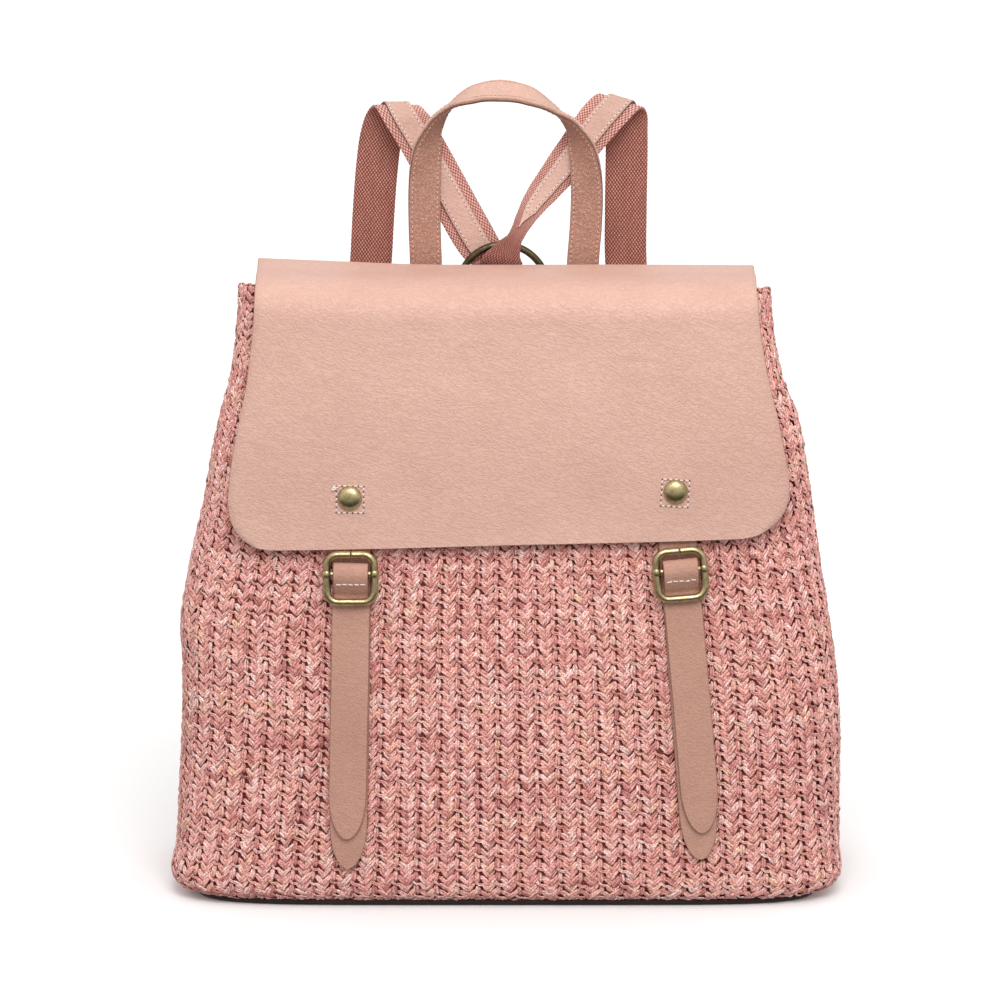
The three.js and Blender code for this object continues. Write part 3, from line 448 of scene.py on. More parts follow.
def leather_material(name, light, dark, rough=0.5, grain=1.0, lines=1.0, raw=None, back=None, pale=None):
    """Leatherette: two close tones, fine crossing creases, uneven gloss, darker raw edges, painted shade on the back
    faces and painted light where marked pale.
    """
    m, nt, sh = new_material(name, rough=rough, spec=0.42)
    place = object_mm(nt)
    cloud = noise(nt, place, 0.03, 4.0, 0.55)
    speck = noise(nt, place, 2.1, 2.0, 0.6)
    turn = (0.0, math.radians(-20), 0.0)
    grey = lambda v: (v, v, v, 1)
    fold = [(0.33, grey(1.0)), (0.45, grey(0.62)), (0.50, grey(0.0)), (0.55, grey(0.62)), (0.67, grey(1.0))]
    long = ramp(nt, noise(nt, object_mm(nt, (0.42, 0.8, 1.0), turn), 0.62, 2.0, 0.5, 0.3), fold)
    short = ramp(nt, noise(nt, object_mm(nt, (0.62, 0.9, 1.0), (0.0, math.radians(-38), 0.0)), 1.05, 1.5, 0.5, 0.2), fold)
    broad = noise(nt, object_mm(nt, (0.45, 0.7, 0.8), turn), 0.14, 2.0, 0.5, 0.8)
    col = ramp(nt, cloud, [(0.30, dark), (0.70, light)])
    col = mix(nt, 1.0, col, ramp(nt, long, [(0.0, (0.92, 0.905, 0.90, 1)), (0.55, (0.995, 0.995, 0.995, 1)), (1.0, (1.02, 1.025, 1.03, 1))]), "MULTIPLY")
    # painted shade: faces with uv v over 20 (the back) are darkened
    if back is not None:
        uv = node(nt, "ShaderNodeSeparateXYZ", {"Vector": node(nt, "ShaderNodeTexCoord").outputs["UV"]}).outputs[1]
        inner = mix(nt, 1.0, mix(nt, 1.0, col, back, "MULTIPLY"), ramp(nt, short, [(0.0, grey(0.76)), (0.6, grey(0.98)), (1.0, grey(1.10))]), "MULTIPLY")
        col = mix(nt, maths(nt, "GREATER_THAN", uv, 20.0), col, inner)
    if pale is not None:
        # painted light: where the pale attribute is set the colour is brightened
        col = mix(nt, node(nt, "ShaderNodeAttribute", attribute_name="pale").outputs["Fac"], col, mix(nt, 1.0, col, pale, "MULTIPLY"))
    if raw is not None:
        edge = node(nt, "ShaderNodeAttribute", attribute_name="raw").outputs["Fac"]
        col = mix(nt, edge, col, raw)
    nt.links.new(col, sh.inputs["Base Color"])
    height = maths(nt, "ADD", maths(nt, "MULTIPLY", long, 0.42 * lines), maths(nt, "MULTIPLY", short, 0.30 * grain))
    height = maths(nt, "ADD", height, maths(nt, "MULTIPLY", speck, 0.16 * grain))
    height = maths(nt, "ADD", height, maths(nt, "MULTIPLY", broad, 1.6 * lines))
    bump = node(nt, "ShaderNodeBump", {"Height": height, "Strength": 0.72, "Distance": 0.0004})
    nt.links.new(bump.outputs[0], sh.inputs["Normal"])
    nt.links.new(ramp(nt, short, [(0.0, grey(rough + 0.14)), (1.0, grey(rough - 0.05))]), sh.inputs["Roughness"])
    return m


def webbing_material():
    """Woven tape: pale raised yarn crossings in staggered rows on a darker ground, with painted shade on the back faces
    and where marked dim.
    """
    m, nt, sh = new_material("webbing", rough=0.85, spec=0.2)
    tc = node(nt, "ShaderNodeTexCoord")
    sep = node(nt, "ShaderNodeSeparateXYZ", {"Vector": tc.outputs["UV"]})
    u, v = sep.outputs[0], sep.outputs[1]
    wob = noise(nt, uv_mm(nt), 0.6, 2.0)
    a = maths(nt, "COSINE", maths(nt, "ADD", maths(nt, "MULTIPLY", u, math.pi / 1.06), maths(nt, "MULTIPLY", wob, 2.6)))
    b = maths(nt, "COSINE", maths(nt, "ADD", maths(nt, "MULTIPLY", v, math.pi / 0.75), maths(nt, "MULTIPLY", wob, -2.0)))
    dot = maths(nt, "MULTIPLY_ADD", maths(nt, "MULTIPLY", a, b), 0.5, 0.5)
    tone = noise(nt, uv_mm(nt, (0.08, 0.3, 1)), 1.0, 3.0)
    yarn = noise(nt, uv_mm(nt, (2.6, 1.2, 1)), 1.0, 2.0)
    face = ramp(nt, dot, [(0.14, lin(156, 95, 86)), (0.44, lin(196, 132, 121)), (0.68, lin(234, 180, 168)), (0.90, lin(250, 216, 205))])
    # painted shade: back faces (uv v over 20) take this darker ramp for the runs that hang in shade
    inside = ramp(nt, dot, [(0.18, lin(128, 71, 62)), (0.50, lin(160, 99, 88)), (0.72, lin(204, 144, 130)), (0.92, lin(232, 180, 166))])
    col = mix(nt, maths(nt, "GREATER_THAN", v, 20.0), face, inside)
    col = mix(nt, 1.0, col, ramp(nt, tone, [(0.3, (0.90, 0.88, 0.88, 1)), (0.7, (1.06, 1.05, 1.04, 1))]), "MULTIPLY")
    col = mix(nt, 1.0, col, ramp(nt, yarn, [(0.3, (0.86, 0.84, 0.83, 1)), (0.7, (1.10, 1.10, 1.10, 1))]), "MULTIPLY")
    # painted shade: the dim attribute darkens the webbing where it is gathered by the ring
    dim = node(nt, "ShaderNodeAttribute", attribute_name="dim").outputs["Fac"]
    col = mix(nt, dim, col, mix(nt, 1.0, col, (0.58, 0.47, 0.45, 1), "MULTIPLY"))
    nt.links.new(col, sh.inputs["Base Color"])
    height = maths(nt, "ADD", dot, maths(nt, "MULTIPLY", yarn, 0.25))
    bump = node(nt, "ShaderNodeBump", {"Height": height, "Strength": 0.8, "Distance": 0.0004})
    nt.links.new(bump.outputs[0], sh.inputs["Normal"])
    sh.inputs["Sheen Weight"].default_value = 0.10
    return m


def metal_material(name, light, dark, rough):
    m, nt, sh = new_material(name, rough=rough, metal=1.0, spec=0.5)
    patina = noise(nt, object_mm(nt), 0.42, 4.0, 0.6)
    fine = noise(nt, object_mm(nt), 2.6, 2.0)
    nt.links.new(ramp(nt, patina, [(0.32, dark), (0.62, light)]), sh.inputs["Base Color"])
    nt.links.new(ramp(nt, patina, [(0.3, (rough + 0.16,) * 3 + (1,)), (0.65, (rough,) * 3 + (1,))]), sh.inputs["Roughness"])
    bump = node(nt, "ShaderNodeBump", {"Height": fine, "Strength": 0.12, "Distance": 0.0002})
    nt.links.new(bump.outputs[0], sh.inputs["Normal"])
    return m


def thread_material(name, light, dark):
    m, nt, sh = new_material(name, rough=0.7, spec=0.3)
    twist = noise(nt, object_mm(nt), 1.9, 2.0)
    nt.links.new(ramp(nt, twist, [(0.3, dark), (0.7, light)]), sh.inputs["Base Color"])
    bump = node(nt, "ShaderNodeBump", {"Height": twist, "Strength": 0.4, "Distance": 0.0002})
    nt.links.new(bump.outputs[0], sh.inputs["Normal"])
    return m


def hole_material():
    m, nt, sh = new_material("needle_hole", rough=0.9, spec=0.1)
    n1 = noise(nt, object_mm(nt), 0.8, 2.0)
    # painted shade: the needle holes are dark buttons standing for the shade inside them
    nt.links.new(ramp(nt, n1, [(0.3, lin(128, 82, 70)), (0.7, lin(160, 110, 96))]), sh.inputs["Base Color"])
    return m


STRAW = straw_material()
CORE = core_material()
EDGE = lin(112, 76, 64)
FLAP = leather_material("flap_leather", lin(224, 180, 163), lin(217, 172, 155), rough=0.46, raw=EDGE)
STRAPS = leather_material("strap_leather", lin(204, 155, 136), lin(194, 145, 126), rough=0.6, grain=1.3, lines=0.7, raw=EDGE)
# the handle's inner face gets painted shade through its darker back
TRIM = leather_material("handle_leather", lin(233, 189, 171), lin(226, 181, 162), rough=0.52, grain=3.0, lines=1.5, raw=EDGE, back=(0.645, 0.555, 0.515, 1))
STRIP = leather_material("strip_leather", lin(211, 169, 152), lin(204, 161, 143), rough=0.52, grain=1.2, lines=0.8, raw=EDGE, pale=(1.16, 1.25, 1.32, 1))
# painted shade: the base is coloured near black for the shade under the wall's overhang
BASE = leather_material("base_leather", lin(56, 32, 31), lin(44, 24, 23), rough=0.65)
WEB = webbing_material()
BRASS = metal_material("antique_brass", (0.62, 0.51, 0.29, 1), (0.36, 0.28, 0.13, 1), 0.27)
BRONZE = metal_material("dark_bronze", (0.17, 0.14, 0.08, 1), (0.07, 0.055, 0.03, 1), 0.34)
THREAD = thread_material("thread", lin(250, 236, 230), lin(232, 204, 196))
DULL = thread_material("thread_dull", lin(230, 192, 176), lin(208, 164, 148))
HOLE = hole_material()

# ------------------------------------------------------------------ the wall's form
body = {c: along(BODY, "z", c) for c in ("left", "right", "front", "back", "power")}


def section(z, inset, per_quarter):
    n = float(body["power"](z))
    out = []
    for q in range(4):
        a = float(body["right" if q in (0, 3) else "left"](z)) - inset
        b = float(body["back" if q < 2 else "front"](z)) - inset
        t = (q + np.linspace(0, 1, 241)) * math.pi / 2
        c, s = np.cos(t), np.sin(t)
        px, py = np.sign(c) * a * np.abs(c) ** (2 / n), np.sign(s) * b * np.abs(s) ** (2 / n)
        ln = np.concatenate([[0], np.cumsum(np.hypot(np.diff(px), np.diff(py)))])
        f = np.arange(per_quarter) / per_quarter
        x, y = np.interp(ln[-1] * f, ln, px), np.interp(ln[-1] * f, ln, py)
        turn = (q + f) / 4
        dent = np.zeros(per_quarter)
        for d in DENTS:
            away = np.abs(turn - d[0])
            dent += d[2] * np.exp(-(np.minimum(away, 1 - away) / d[3]) ** 2 - ((z - d[1]) / d[4]) ** 2)
        fx, fy = x / (a * a), y / (b * b)
        fl = np.hypot(fx, fy)
        out.append(np.stack([x - dent * fx / fl, y - dent * fy / fl], 1))
    return np.vstack(out)


def face_y(x, z, side):
    x, z = np.asarray(x, float), np.asarray(z, float)
    a = np.where(x > 0, body["right"](z), body["left"](z))
    n = body["power"](z)
    b = body["front"](z) if side < 0 else body["back"](z)
    return side * b * np.maximum(0, 1 - (np.abs(x) / a) ** n) ** (1 / n)


def on_face(x, z, out, side=-1):
    """Points and outward directions on the front (-1) or back (1), `out` mm off the wall."""
    x, z, out = (np.atleast_1d(np.asarray(v, float)) for v in (x, z, out))
    e = 0.5
    y = face_y(x, z, side)
    fx = (face_y(x + e, z, side) - face_y(x - e, z, side)) / (2 * e)
    fz = (face_y(x, z + e, side) - face_y(x, z - e, side)) / (2 * e)
    n = unit(np.stack([-fx, np.ones_like(fx), -fz], 1)) * side
    return np.stack(np.broadcast_arrays(x, y, z), 1) + n * out[:, None], n


def flap_back_y(z):
    return body["back"](z) + SEAM_GAP + FLAP_T


RIM_Z = 276.5


RIM = np.array([  # turn, lift in mm: high at the front corners, sagging at the sides and under the flap's bend
    [0.00, -2.5], [0.02, -6], [0.035, -7], [0.05, -5.5], [0.08, -2], [0.12, 0], [0.40, 0], [0.42, -2], [0.45, -5], [0.465, -6],
    [0.48, -5], [0.50, -1.5], [0.515, 2.5], [0.53, 5], [0.5515, 5.4], [0.5557, 0.2], [0.57, -3], [0.59, -4.5], [0.91, -4.5],
    [0.935, -3], [0.946, 0], [0.950, 3.9], [0.967, 3.4], [0.98, 1.5], [1.00, -2.5]])


def rim_raise(turn, z):
    return np.interp(np.mod(turn, 1.0), RIM[:, 0], RIM[:, 1]) * np.clip((z - 245) / 32, 0, 1) ** 2


class Wall:
    """The wall's outer surface by turn (0-1 round the bag) and v (mm up the wall)."""
    QUARTER = 300

    def __init__(self):
        zs = np.concatenate([np.linspace(3.6, 12, 40), np.linspace(12, RIM_Z, 240)[1:]])
        mean = (body["left"](zs) + body["right"](zs) + body["front"](zs) + body["back"](zs)) / 4
        v = np.concatenate([[0], np.cumsum(np.hypot(np.diff(zs), np.diff(mean)))])
        self.top = v[-1]
        under = np.linspace(-6, 0, 8)[:-1]
        over = np.linspace(0, 7, 15)[1:]
        th = np.minimum(over / 1.5, math.pi)
        vv = np.concatenate([under, v, self.top + over])
        z = np.concatenate([3.6 + under * 0.03, zs, RIM_Z + 1.5 * np.sin(th) - np.maximum(over - 1.5 * math.pi, 0)])
        inset = np.concatenate([-under, np.zeros_like(v), 1.5 * (1 - np.cos(th))])
        grid = np.stack([np.column_stack([section(min(max(a, 3.6), 278), b, self.QUARTER), np.full(4 * self.QUARTER, a)]) for a, b in zip(z, inset)])
        grid[..., 2] -= 1.0 * np.exp(-(grid[..., 2] - 3.6) / 6.0)     # the lowest row hangs over the base's edge
        grid[..., 2] += rim_raise(np.arange(4 * self.QUARTER) / (4 * self.QUARTER), grid[..., 2])
        self.v, self.grid = vv, grid
        du = np.roll(grid, -1, 1) - np.roll(grid, 1, 1)
        dv = np.gradient(grid, vv, axis=0)
        self.normal = unit(np.cross(du, dv))

    def at(self, turn, v):
        nt = 4 * self.QUARTER
        t = np.mod(turn, 1.0) * nt
        j = np.floor(t).astype(int) % nt
        ft = (t - np.floor(t))[..., None]
        v = np.clip(v, self.v[0], self.v[-1])
        i = np.clip(np.searchsorted(self.v, v) - 1, 0, len(self.v) - 2)
        fv = ((v - self.v[i]) / (self.v[i + 1] - self.v[i]))[..., None]
        j1 = (j + 1) % nt

        def get(g):
            return (g[i, j] * (1 - ft) + g[i, j1] * ft) * (1 - fv) + (g[i + 1, j] * (1 - ft) + g[i + 1, j1] * ft) * fv
        return get(self.grid), unit(get(self.normal))


wall = Wall()

# ------------------------------------------------------------------ knitted straw
WALES = 86          # columns of stitches round the bag
COURSE = 6.87       # height of one row of stitches, mm
SPIRAL = 1          # rows climbed by one turn of the knitting
LEAN = 0.009       # sideways lean of the columns, mm for each mm down
# one stitch: across (wales), up (courses), depth (mm under the crest), half width (mm)
STITCH = {
    "left_upper": np.array([[-0.12, 0.46, -1.5, 0.45], [-0.22, 0.28, -0.84, 0.82], [-0.43, -0.10, -0.76, 1.18], [-0.57, -0.32, -1.25, 1.0]]),
    "left_lower": np.array([[-0.03, -0.03, -1.5, 0.60], [-0.175, -0.195, -0.58, 1.05], [-0.42, -0.59, -0.50, 1.25], [-0.57, -0.81, -1.15, 1.0]]),
    "bar": np.array([[-0.18, 0.60, -1.4, 0.62], [-0.10, 0.42, -0.55, 0.62], [0.04, 0.285, -0.36, 0.60], [0.23, 0.285, -0.42, 0.72], [0.40, 0.03, -0.70, 1.22], [0.58, -0.31, -1.3, 1.0]]),
    "right_lower": np.array([[0.06, -0.24, -1.4, 0.72], [0.21, -0.27, -0.72, 1.06], [0.43, -0.55, -0.58, 1.24], [0.58, -0.75, -1.25, 1.0]]),
    "nub": np.array([[-0.015, 0.20, -1.2, 0.66], [-0.005, 0.02, -0.72, 1.00], [-0.02, -0.32, -0.60, 1.16], [-0.045, -0.62, -1.4, 0.85]]),
}


def smooth_noise(shape, reach):
    """Random field, smooth along its last axis (which closes on itself)."""
    f = rng.normal(size=shape)
    k = np.exp(-0.5 * (np.arange(-9, 10) / reach) ** 2)
    k /= np.sqrt((k ** 2).sum())
    out = sum(w * np.roll(f, s, -1) for w, s in zip(k, range(-9, 10)))
    return out


def weave():
    rows = int(math.ceil((wall.top + 3.0) / COURSE)) + 4
    col, row = np.meshgrid(np.arange(WALES), np.arange(rows) - 1, indexing="xy")
    lie_a, lie_b = smooth_noise((rows, WALES), 2.0) * 0.012, smooth_noise((rows, WALES), 2.5) * 0.020
    mid, _ = wall.at(col / WALES, (row - SPIRAL * col / WALES) * COURSE)
    # under the flap the strands are left whole; elsewhere each is two straws side by side
    under = (np.abs(mid[..., 0]) < 106) & (((mid[..., 1] < 0) & (mid[..., 2] > 183)) | ((mid[..., 1] > 0) & (mid[..., 2] > 238)))
    names = ["weave_right", "weave_back_right", "weave_back_left", "weave_left", "weave_front_left", "weave_front_right"]
    sector = (np.floor((col / WALES + 1 / 12) * 6).astype(int) % 6)
    made = {k: [[], [], [], [], [], 0] for k in range(6)}
    for kind, shape in STITCH.items():
        st = shape.shape[0]
        yarn = smooth_noise((rows, WALES), 1.6)
        one = lambda sigma: rng.normal(0, sigma, (rows, WALES, 1))
        many = lambda sigma: rng.normal(0, sigma, (rows, WALES, st))
        a = shape[:, 0] + one(0.014) + lie_a[..., None] + many(0.010)
        b = shape[:, 1] + one(0.026) + lie_b[..., None] + many(0.020)
        d = shape[:, 2] + one(0.14) + many(0.07)
        hw = shape[:, 3] * (1 + one(0.08))
        turn = (col[..., None] + a) / WALES
        v = (row[..., None] + b - SPIRAL * turn) * COURSE
        ok = (v.min(-1) > -5.5) & (v.max(-1) < wall.top + 6.0)
        turn = turn - (v - 130.0) * LEAN / 795.0
        p, n = wall.at(turn, v)
        c = p + n * d[..., None]
        t = unit(np.gradient(c, axis=2))
        s = unit(np.cross(t, n))
        up = np.cross(s, t)
        shade = 0.42 + 0.12 * yarn + rng.normal(0, 0.07, (rows, WALES)) - (0.05 if kind == "nub" else 0)
        for off, part, who in ((-0.5, 0.75, ~under), (0.5, 0.75, ~under), (0.0, 1.2, under)):
            if kind == "nub" and off == 0.0:
                continue
            h = (hw * part * (1 + one(0.07)))[..., None]
            th = 1.10 + one(0.08)[..., None]
            e = c + s * (hw * off + one(0.06) + many(0.05))[..., None] + up * (one(0.10) + many(0.05))[..., None]
            ring = np.stack([e - s * h - up * 0.16 * th, e + up * 0.24 * th, e + s * h - up * 0.16 * th], 3)
            ln = np.concatenate([np.zeros((rows, WALES, 1)), np.cumsum(np.linalg.norm(np.diff(e, axis=2), axis=-1), 2)], 2)
            shift = rng.uniform(0, 400, (rows, WALES, 1, 1))
            size = (rows, WALES, st, 3)
            uu = np.broadcast_to(ln[..., None] + shift, size)
            vv = np.broadcast_to(np.array([0.0, 0.6, 1.2]) + shift * 0.37, size)
            tint = np.broadcast_to(np.clip(shade + rng.normal(0, 0.13, (rows, WALES)), 0, 1)[..., None, None], size)
            quads = grid_faces(st, 3, wrap_cols=True)
            ends = np.array([[2, 1, 0], [(st - 1) * 3, (st - 1) * 3 + 1, (st - 1) * 3 + 2]])
            for k in range(6):
                pick = ok & who & (sector == k)
                m = int(pick.sum())
                if not m:
                    continue
                acc = made[k]
                step = (np.arange(m) * st * 3)[:, None, None] + acc[5]
                acc[0].append(ring[pick].reshape(-1, 3))
                acc[1].append((quads[None] + step).reshape(-1, 4))
                acc[2].append((ends[None] + step).reshape(-1, 3))
                acc[3].append(np.stack([uu[pick].ravel(), vv[pick].ravel()], 1))
                acc[4].append(tint[pick].ravel())
                acc[5] += m * st * 3
    for k, nm in enumerate(names):
        co, quads, ends, uv, ti, _ = made[k]
        make(nm, np.vstack(co), [np.vstack(quads), np.vstack(ends)], STRAW, uv=np.vstack(uv), attrs={"tint": np.concatenate(ti)}, slot="straw")


def shell(inset_out, inset_in, per=25):
    """Thin closed shell behind the knit."""
    zs = np.concatenate([[3.7, 5, 7, 10.5, 15], np.linspace(22, 277, 40)])
    rings = [np.column_stack([section(z, inset_out, per), np.full(4 * per, z)]) for z in zs]
    rings += [np.column_stack([section(z, inset_in, per), np.full(4 * per, z)]) for z in zs[::-1]]
    rings = np.stack(rings)
    rings[..., 2] += rim_raise(np.arange(4 * per) / (4 * per), rings[..., 2])
    co = rings.reshape(-1, 3)
    return co, outward(co, [grid_faces(len(rings), 4 * per, wrap_cols=True, wrap_rows=True)])


weave()
# a dark shell behind the knit: painted shade in the holes
co, faces = shell(1.8, 3.0)
make("weave_core", co, faces, CORE, node="woven_body", slot="straw")


# ------------------------------------------------------------------ base panel
def base_panel():
    prof = [(0.0, 4.2), (0.0, 2.4), (0.2, 1.4), (0.7, 0.8), (1.6, 0.5), (2.4, 0.5), (BASE_T, 0.8)]
    rings = [np.column_stack([section(3.6, ins, 60) * [0.974, 1.0], np.full(240, z)]) for z, ins in prof]
    co = np.vstack(rings)
    k = len(rings)
    faces = [grid_faces(k, 240, wrap_cols=True)]
    co = np.vstack([co, [[0, 0, 0.0], [0, 0, BASE_T]]])
    j = np.arange(240)
    faces.append(np.stack([np.full(240, k * 240), (j + 1) % 240, j], 1))
    faces.append(np.stack([np.full(240, k * 240 + 1), (k - 1) * 240 + j, (k - 1) * 240 + (j + 1) % 240], 1))
    return make("base_panel_skin", co, outward(co, faces), BASE, node="base_panel", slot="base_leather", sharp=50)


base_panel()

# ------------------------------------------------------------------ flap
flap_left, flap_right = along(FLAP_WIDE, "z", "left"), along(FLAP_WIDE, "z", "right")
flap_lift = along(FLAP_LIFT, "x", "lift")


def flap_front_y(x, z):
    zz = np.maximum(z, 184)
    w = np.where(x > 0, flap_right(zz), flap_left(zz))
    return -(body["front"](z) + FLAP_FRONT_GAP) + FLAP_SIDE_WRAP * np.minimum(1.05, np.abs(x) / w) ** 4


def flap_grid(cols):
    """Inner face of the flap, rows from its sewn back edge over the top to its front edge."""
    u = np.linspace(0, 1, cols + 1)
    top, y_back = FLAP_TOP_Z, float(body["back"](274)) + SEAM_GAP
    z_end, reach = 268.0, 26.0         # where the curve over the front ends, and how far back it starts
    out = []

    def line(z):
        wl, wr = float(flap_left(z)), float(flap_right(z))
        return -wl + (wl + wr) * u

    for z in np.linspace(FLAP_BACK_Z, 270, 14):
        x = line(286)
        out.append(np.stack([x, np.full_like(x, body["back"](z) + SEAM_GAP), np.full_like(x, z)], 1))
    for i in range(13):
        t = i / 12 * math.pi / 2
        x = line(286)
        z0 = top + flap_lift(x)
        out.append(np.stack([x, np.full_like(x, y_back - FLAP_BEND_BACK * (1 - math.cos(t))), z0 - FLAP_BEND_BACK * (1 - math.sin(t))], 1))

    def corner(x):
        """Where the top's line meets the line of the front."""
        z0, zf = top + 0.3 * flap_lift(x), z_end + 0.3 * flap_lift(x)
        y_end = flap_front_y(x, zf)
        lean = (y_end - flap_front_y(x, zf - 3)) / 3
        return y_end + lean * (z0 - zf), z0, y_end, zf

    mid = 16
    for i in range(1, mid):
        f = i / mid
        x = line(286 - 6 * f)
        y1 = corner(x)[0] + reach
        out.append(np.stack([x, (y_back - FLAP_BEND_BACK) * (1 - f) + y1 * f, top + flap_lift(x) * (1 - 0.7 * f) - FLAP_SAG * math.sin(math.pi * f) ** 2], 1))
    for t in np.linspace(0, 1, 19):
        x = line(280 - (280 - z_end) * t)
        yc, zc, ye, ze = corner(x)
        a, b, c = (1 - t) ** 2, 2 * t * (1 - t), t * t
        out.append(np.stack([x, a * (yc + reach) + b * yc + c * ye, (a + b) * zc + c * ze], 1))
    zs = np.concatenate([np.linspace(z_end - 1.6, 198, 26), np.linspace(195, 172, 12), [170.5, 169.2, 168.2, 167.4, 166.8, 166.4, 166.0]])
    for z in zs:
        f = (z_end - z) / (z_end - 166)
        x = line(z)
        zz = z_end + 0.3 * flap_lift(x) * (1 - f) - f * (z_end - (FLAP_EDGE_Z + FLAP_EDGE_TILT * x))
        out.append(np.stack([x, flap_front_y(x, zz), zz], 1))
    return np.stack(out)


def sheet_with_edge(grid, thick, edge=0.45):
    """Closed sheet: inner face as given, outer face `thick` off it, edges slightly rounded."""
    du, dv = np.gradient(grid, axis=1), np.gradient(grid, axis=0)
    nrm = unit(np.cross(du, dv))
    if nrm[len(grid) // 2, grid.shape[1] // 2, 2] < 0:
        nrm = -nrm
    rows, cols = grid.shape[:2]
    outer = grid + nrm * thick
    # the rim of each face is drawn in a little so that the cut edge reads as rounded
    inw = np.zeros_like(grid)
    inw[:, 0] += unit(grid[:, 1] - grid[:, 0]); inw[:, -1] += unit(grid[:, -2] - grid[:, -1])
    inw[0] += unit(grid[1] - grid[0]); inw[-1] += unit(grid[-2] - grid[-1])
    inner, outer = grid + inw * edge * 0.5 + nrm * 0.0, outer + inw * edge - nrm * edge * 0.0
    loop = np.concatenate([np.arange(cols), (np.arange(1, rows) * cols + cols - 1), (rows - 1) * cols + np.arange(cols - 2, -1, -1), np.arange(rows - 2, 0, -1) * cols])
    g, o, nn = grid.reshape(-1, 3), outer.reshape(-1, 3), nrm.reshape(-1, 3)
    shoulder = g[loop] + nn[loop] * (thick - edge)
    low = g[loop] + nn[loop] * edge * 0.6
    co = np.vstack([inner.reshape(-1, 3), o, low, shoulder])
    m, n0 = len(loop), rows * cols
    k = np.arange(m)
    k1 = (k + 1) % m
    a = loop
    faces = [grid_faces(rows, cols), grid_faces(rows, cols, flip=True) + n0,
             np.stack([a, 2 * n0 + k, 2 * n0 + k1, a[k1]], 1),
             np.stack([2 * n0 + k, 2 * n0 + m + k, 2 * n0 + m + k1, 2 * n0 + k1], 1),
             np.stack([2 * n0 + m + k, n0 + a, n0 + a[k1], 2 * n0 + m + k1], 1)]
    raw = np.zeros(len(co))
    raw[2 * n0:2 * n0 + m] = 0.9
    raw[2 * n0 + m:] = 0.55
    return co, outward(co, faces), outer, raw


fgrid = flap_grid(64)
# soft unevenness of the leather over the straps and between the rivets
gx, gz = fgrid[..., 0], fgrid[..., 2]
front_part = (fgrid[..., 1] < -20)
puff = 0.55 * np.sin(gx / 23.0 + 1.1) * np.sin(gz / 31.0 + 0.4) + 0.35 * np.sin(gx / 11.0 + gz / 17.0)
press = sum(np.exp(-((gx - s["rivet"][0]) / 11) ** 2 - ((gz - s["rivet"][1]) / 11) ** 2) for s in FRONT_STRAPS)
belly = np.sin(math.pi * np.clip((FLAP_TOP_Z - 6 - gz) / (FLAP_TOP_Z - 6 - FLAP_EDGE_Z), 0, 1)) ** 2
fgrid[..., 1] -= np.where(front_part, 1.7 * belly, 0)
fgrid[..., 1] += np.where(front_part, 0.45 * puff * np.clip((285 - gz) / 30, 0, 1) - 0.25 * press, 0)
co, faces, flap_outer, flap_raw = sheet_with_edge(fgrid, FLAP_T)
flap_piece = make("flap_sheet", co, faces, FLAP, attrs={"raw": flap_raw}, node="flap", slot="flap_leather", sharp=62)


def flap_outside(x, z):
    """Outer face of the flap's front at x, z."""
    p = flap_outer.reshape(-1, 3)
    keep = p[:, 1] < -20
    q = p[keep]
    y = np.empty(len(x))
    for i, (a, b) in enumerate(zip(x, z)):
        d = (q[:, 0] - a) ** 2 + (q[:, 2] - b) ** 2
        k = np.argsort(d)[:4]
        w = 1 / (d[k] + 0.05)
        y[i] = (q[k, 1] * w).sum() / w.sum()
    return y


# ------------------------------------------------------------------ stitches
def capsule(p, t, n, length, r, flat=0.75):
    """One sewn stitch lying along t on a face with outward direction n."""
    s = np.cross(t, n)
    xs = np.array([-0.5, -0.36, 0.36, 0.5]) * length
    rr = np.array([0.5, 1.0, 1.0, 0.5]) * r
    lift = np.array([-0.5, 0.25, 0.25, -0.5]) * r
    ang = (np.arange(5) + 0.25) / 5 * 2 * math.pi
    co = (p + xs[:, None, None] * t + lift[:, None, None] * n
          + rr[:, None, None] * (np.cos(ang)[None, :, None] * s + flat * np.sin(ang)[None, :, None] * n)).reshape(-1, 3)
    k = len(xs)
    faces = [grid_faces(k, 5, wrap_cols=True)]
    co = np.vstack([co, p + xs[0] * 1.04 * t + lift[0] * n, p + xs[-1] * 1.04 * t + lift[-1] * n])
    j = np.arange(5)
    faces.append(np.stack([np.full(5, k * 5), (j + 1) % 5, j], 1))
    faces.append(np.stack([np.full(5, k * 5 + 1), (k - 1) * 5 + j, (k - 1) * 5 + (j + 1) % 5], 1))
    return co, faces


def pit(p, n, r):
    """A needle hole: a dark low button sunk in the face."""
    s = unit(np.cross(n, [0.3, 0.2, 0.9]))
    t = np.cross(n, s)
    ang = np.arange(5) / 5 * 2 * math.pi
    rim = p + r * (np.cos(ang)[:, None] * s + np.sin(ang)[:, None] * t)
    co = np.vstack([rim, p + n * 0.10, p - n * 0.3])
    j = np.arange(5)
    return co, [np.stack([np.full(5, 5), j, (j + 1) % 5], 1), np.stack([np.full(5, 6), (j + 1) % 5, j], 1)]


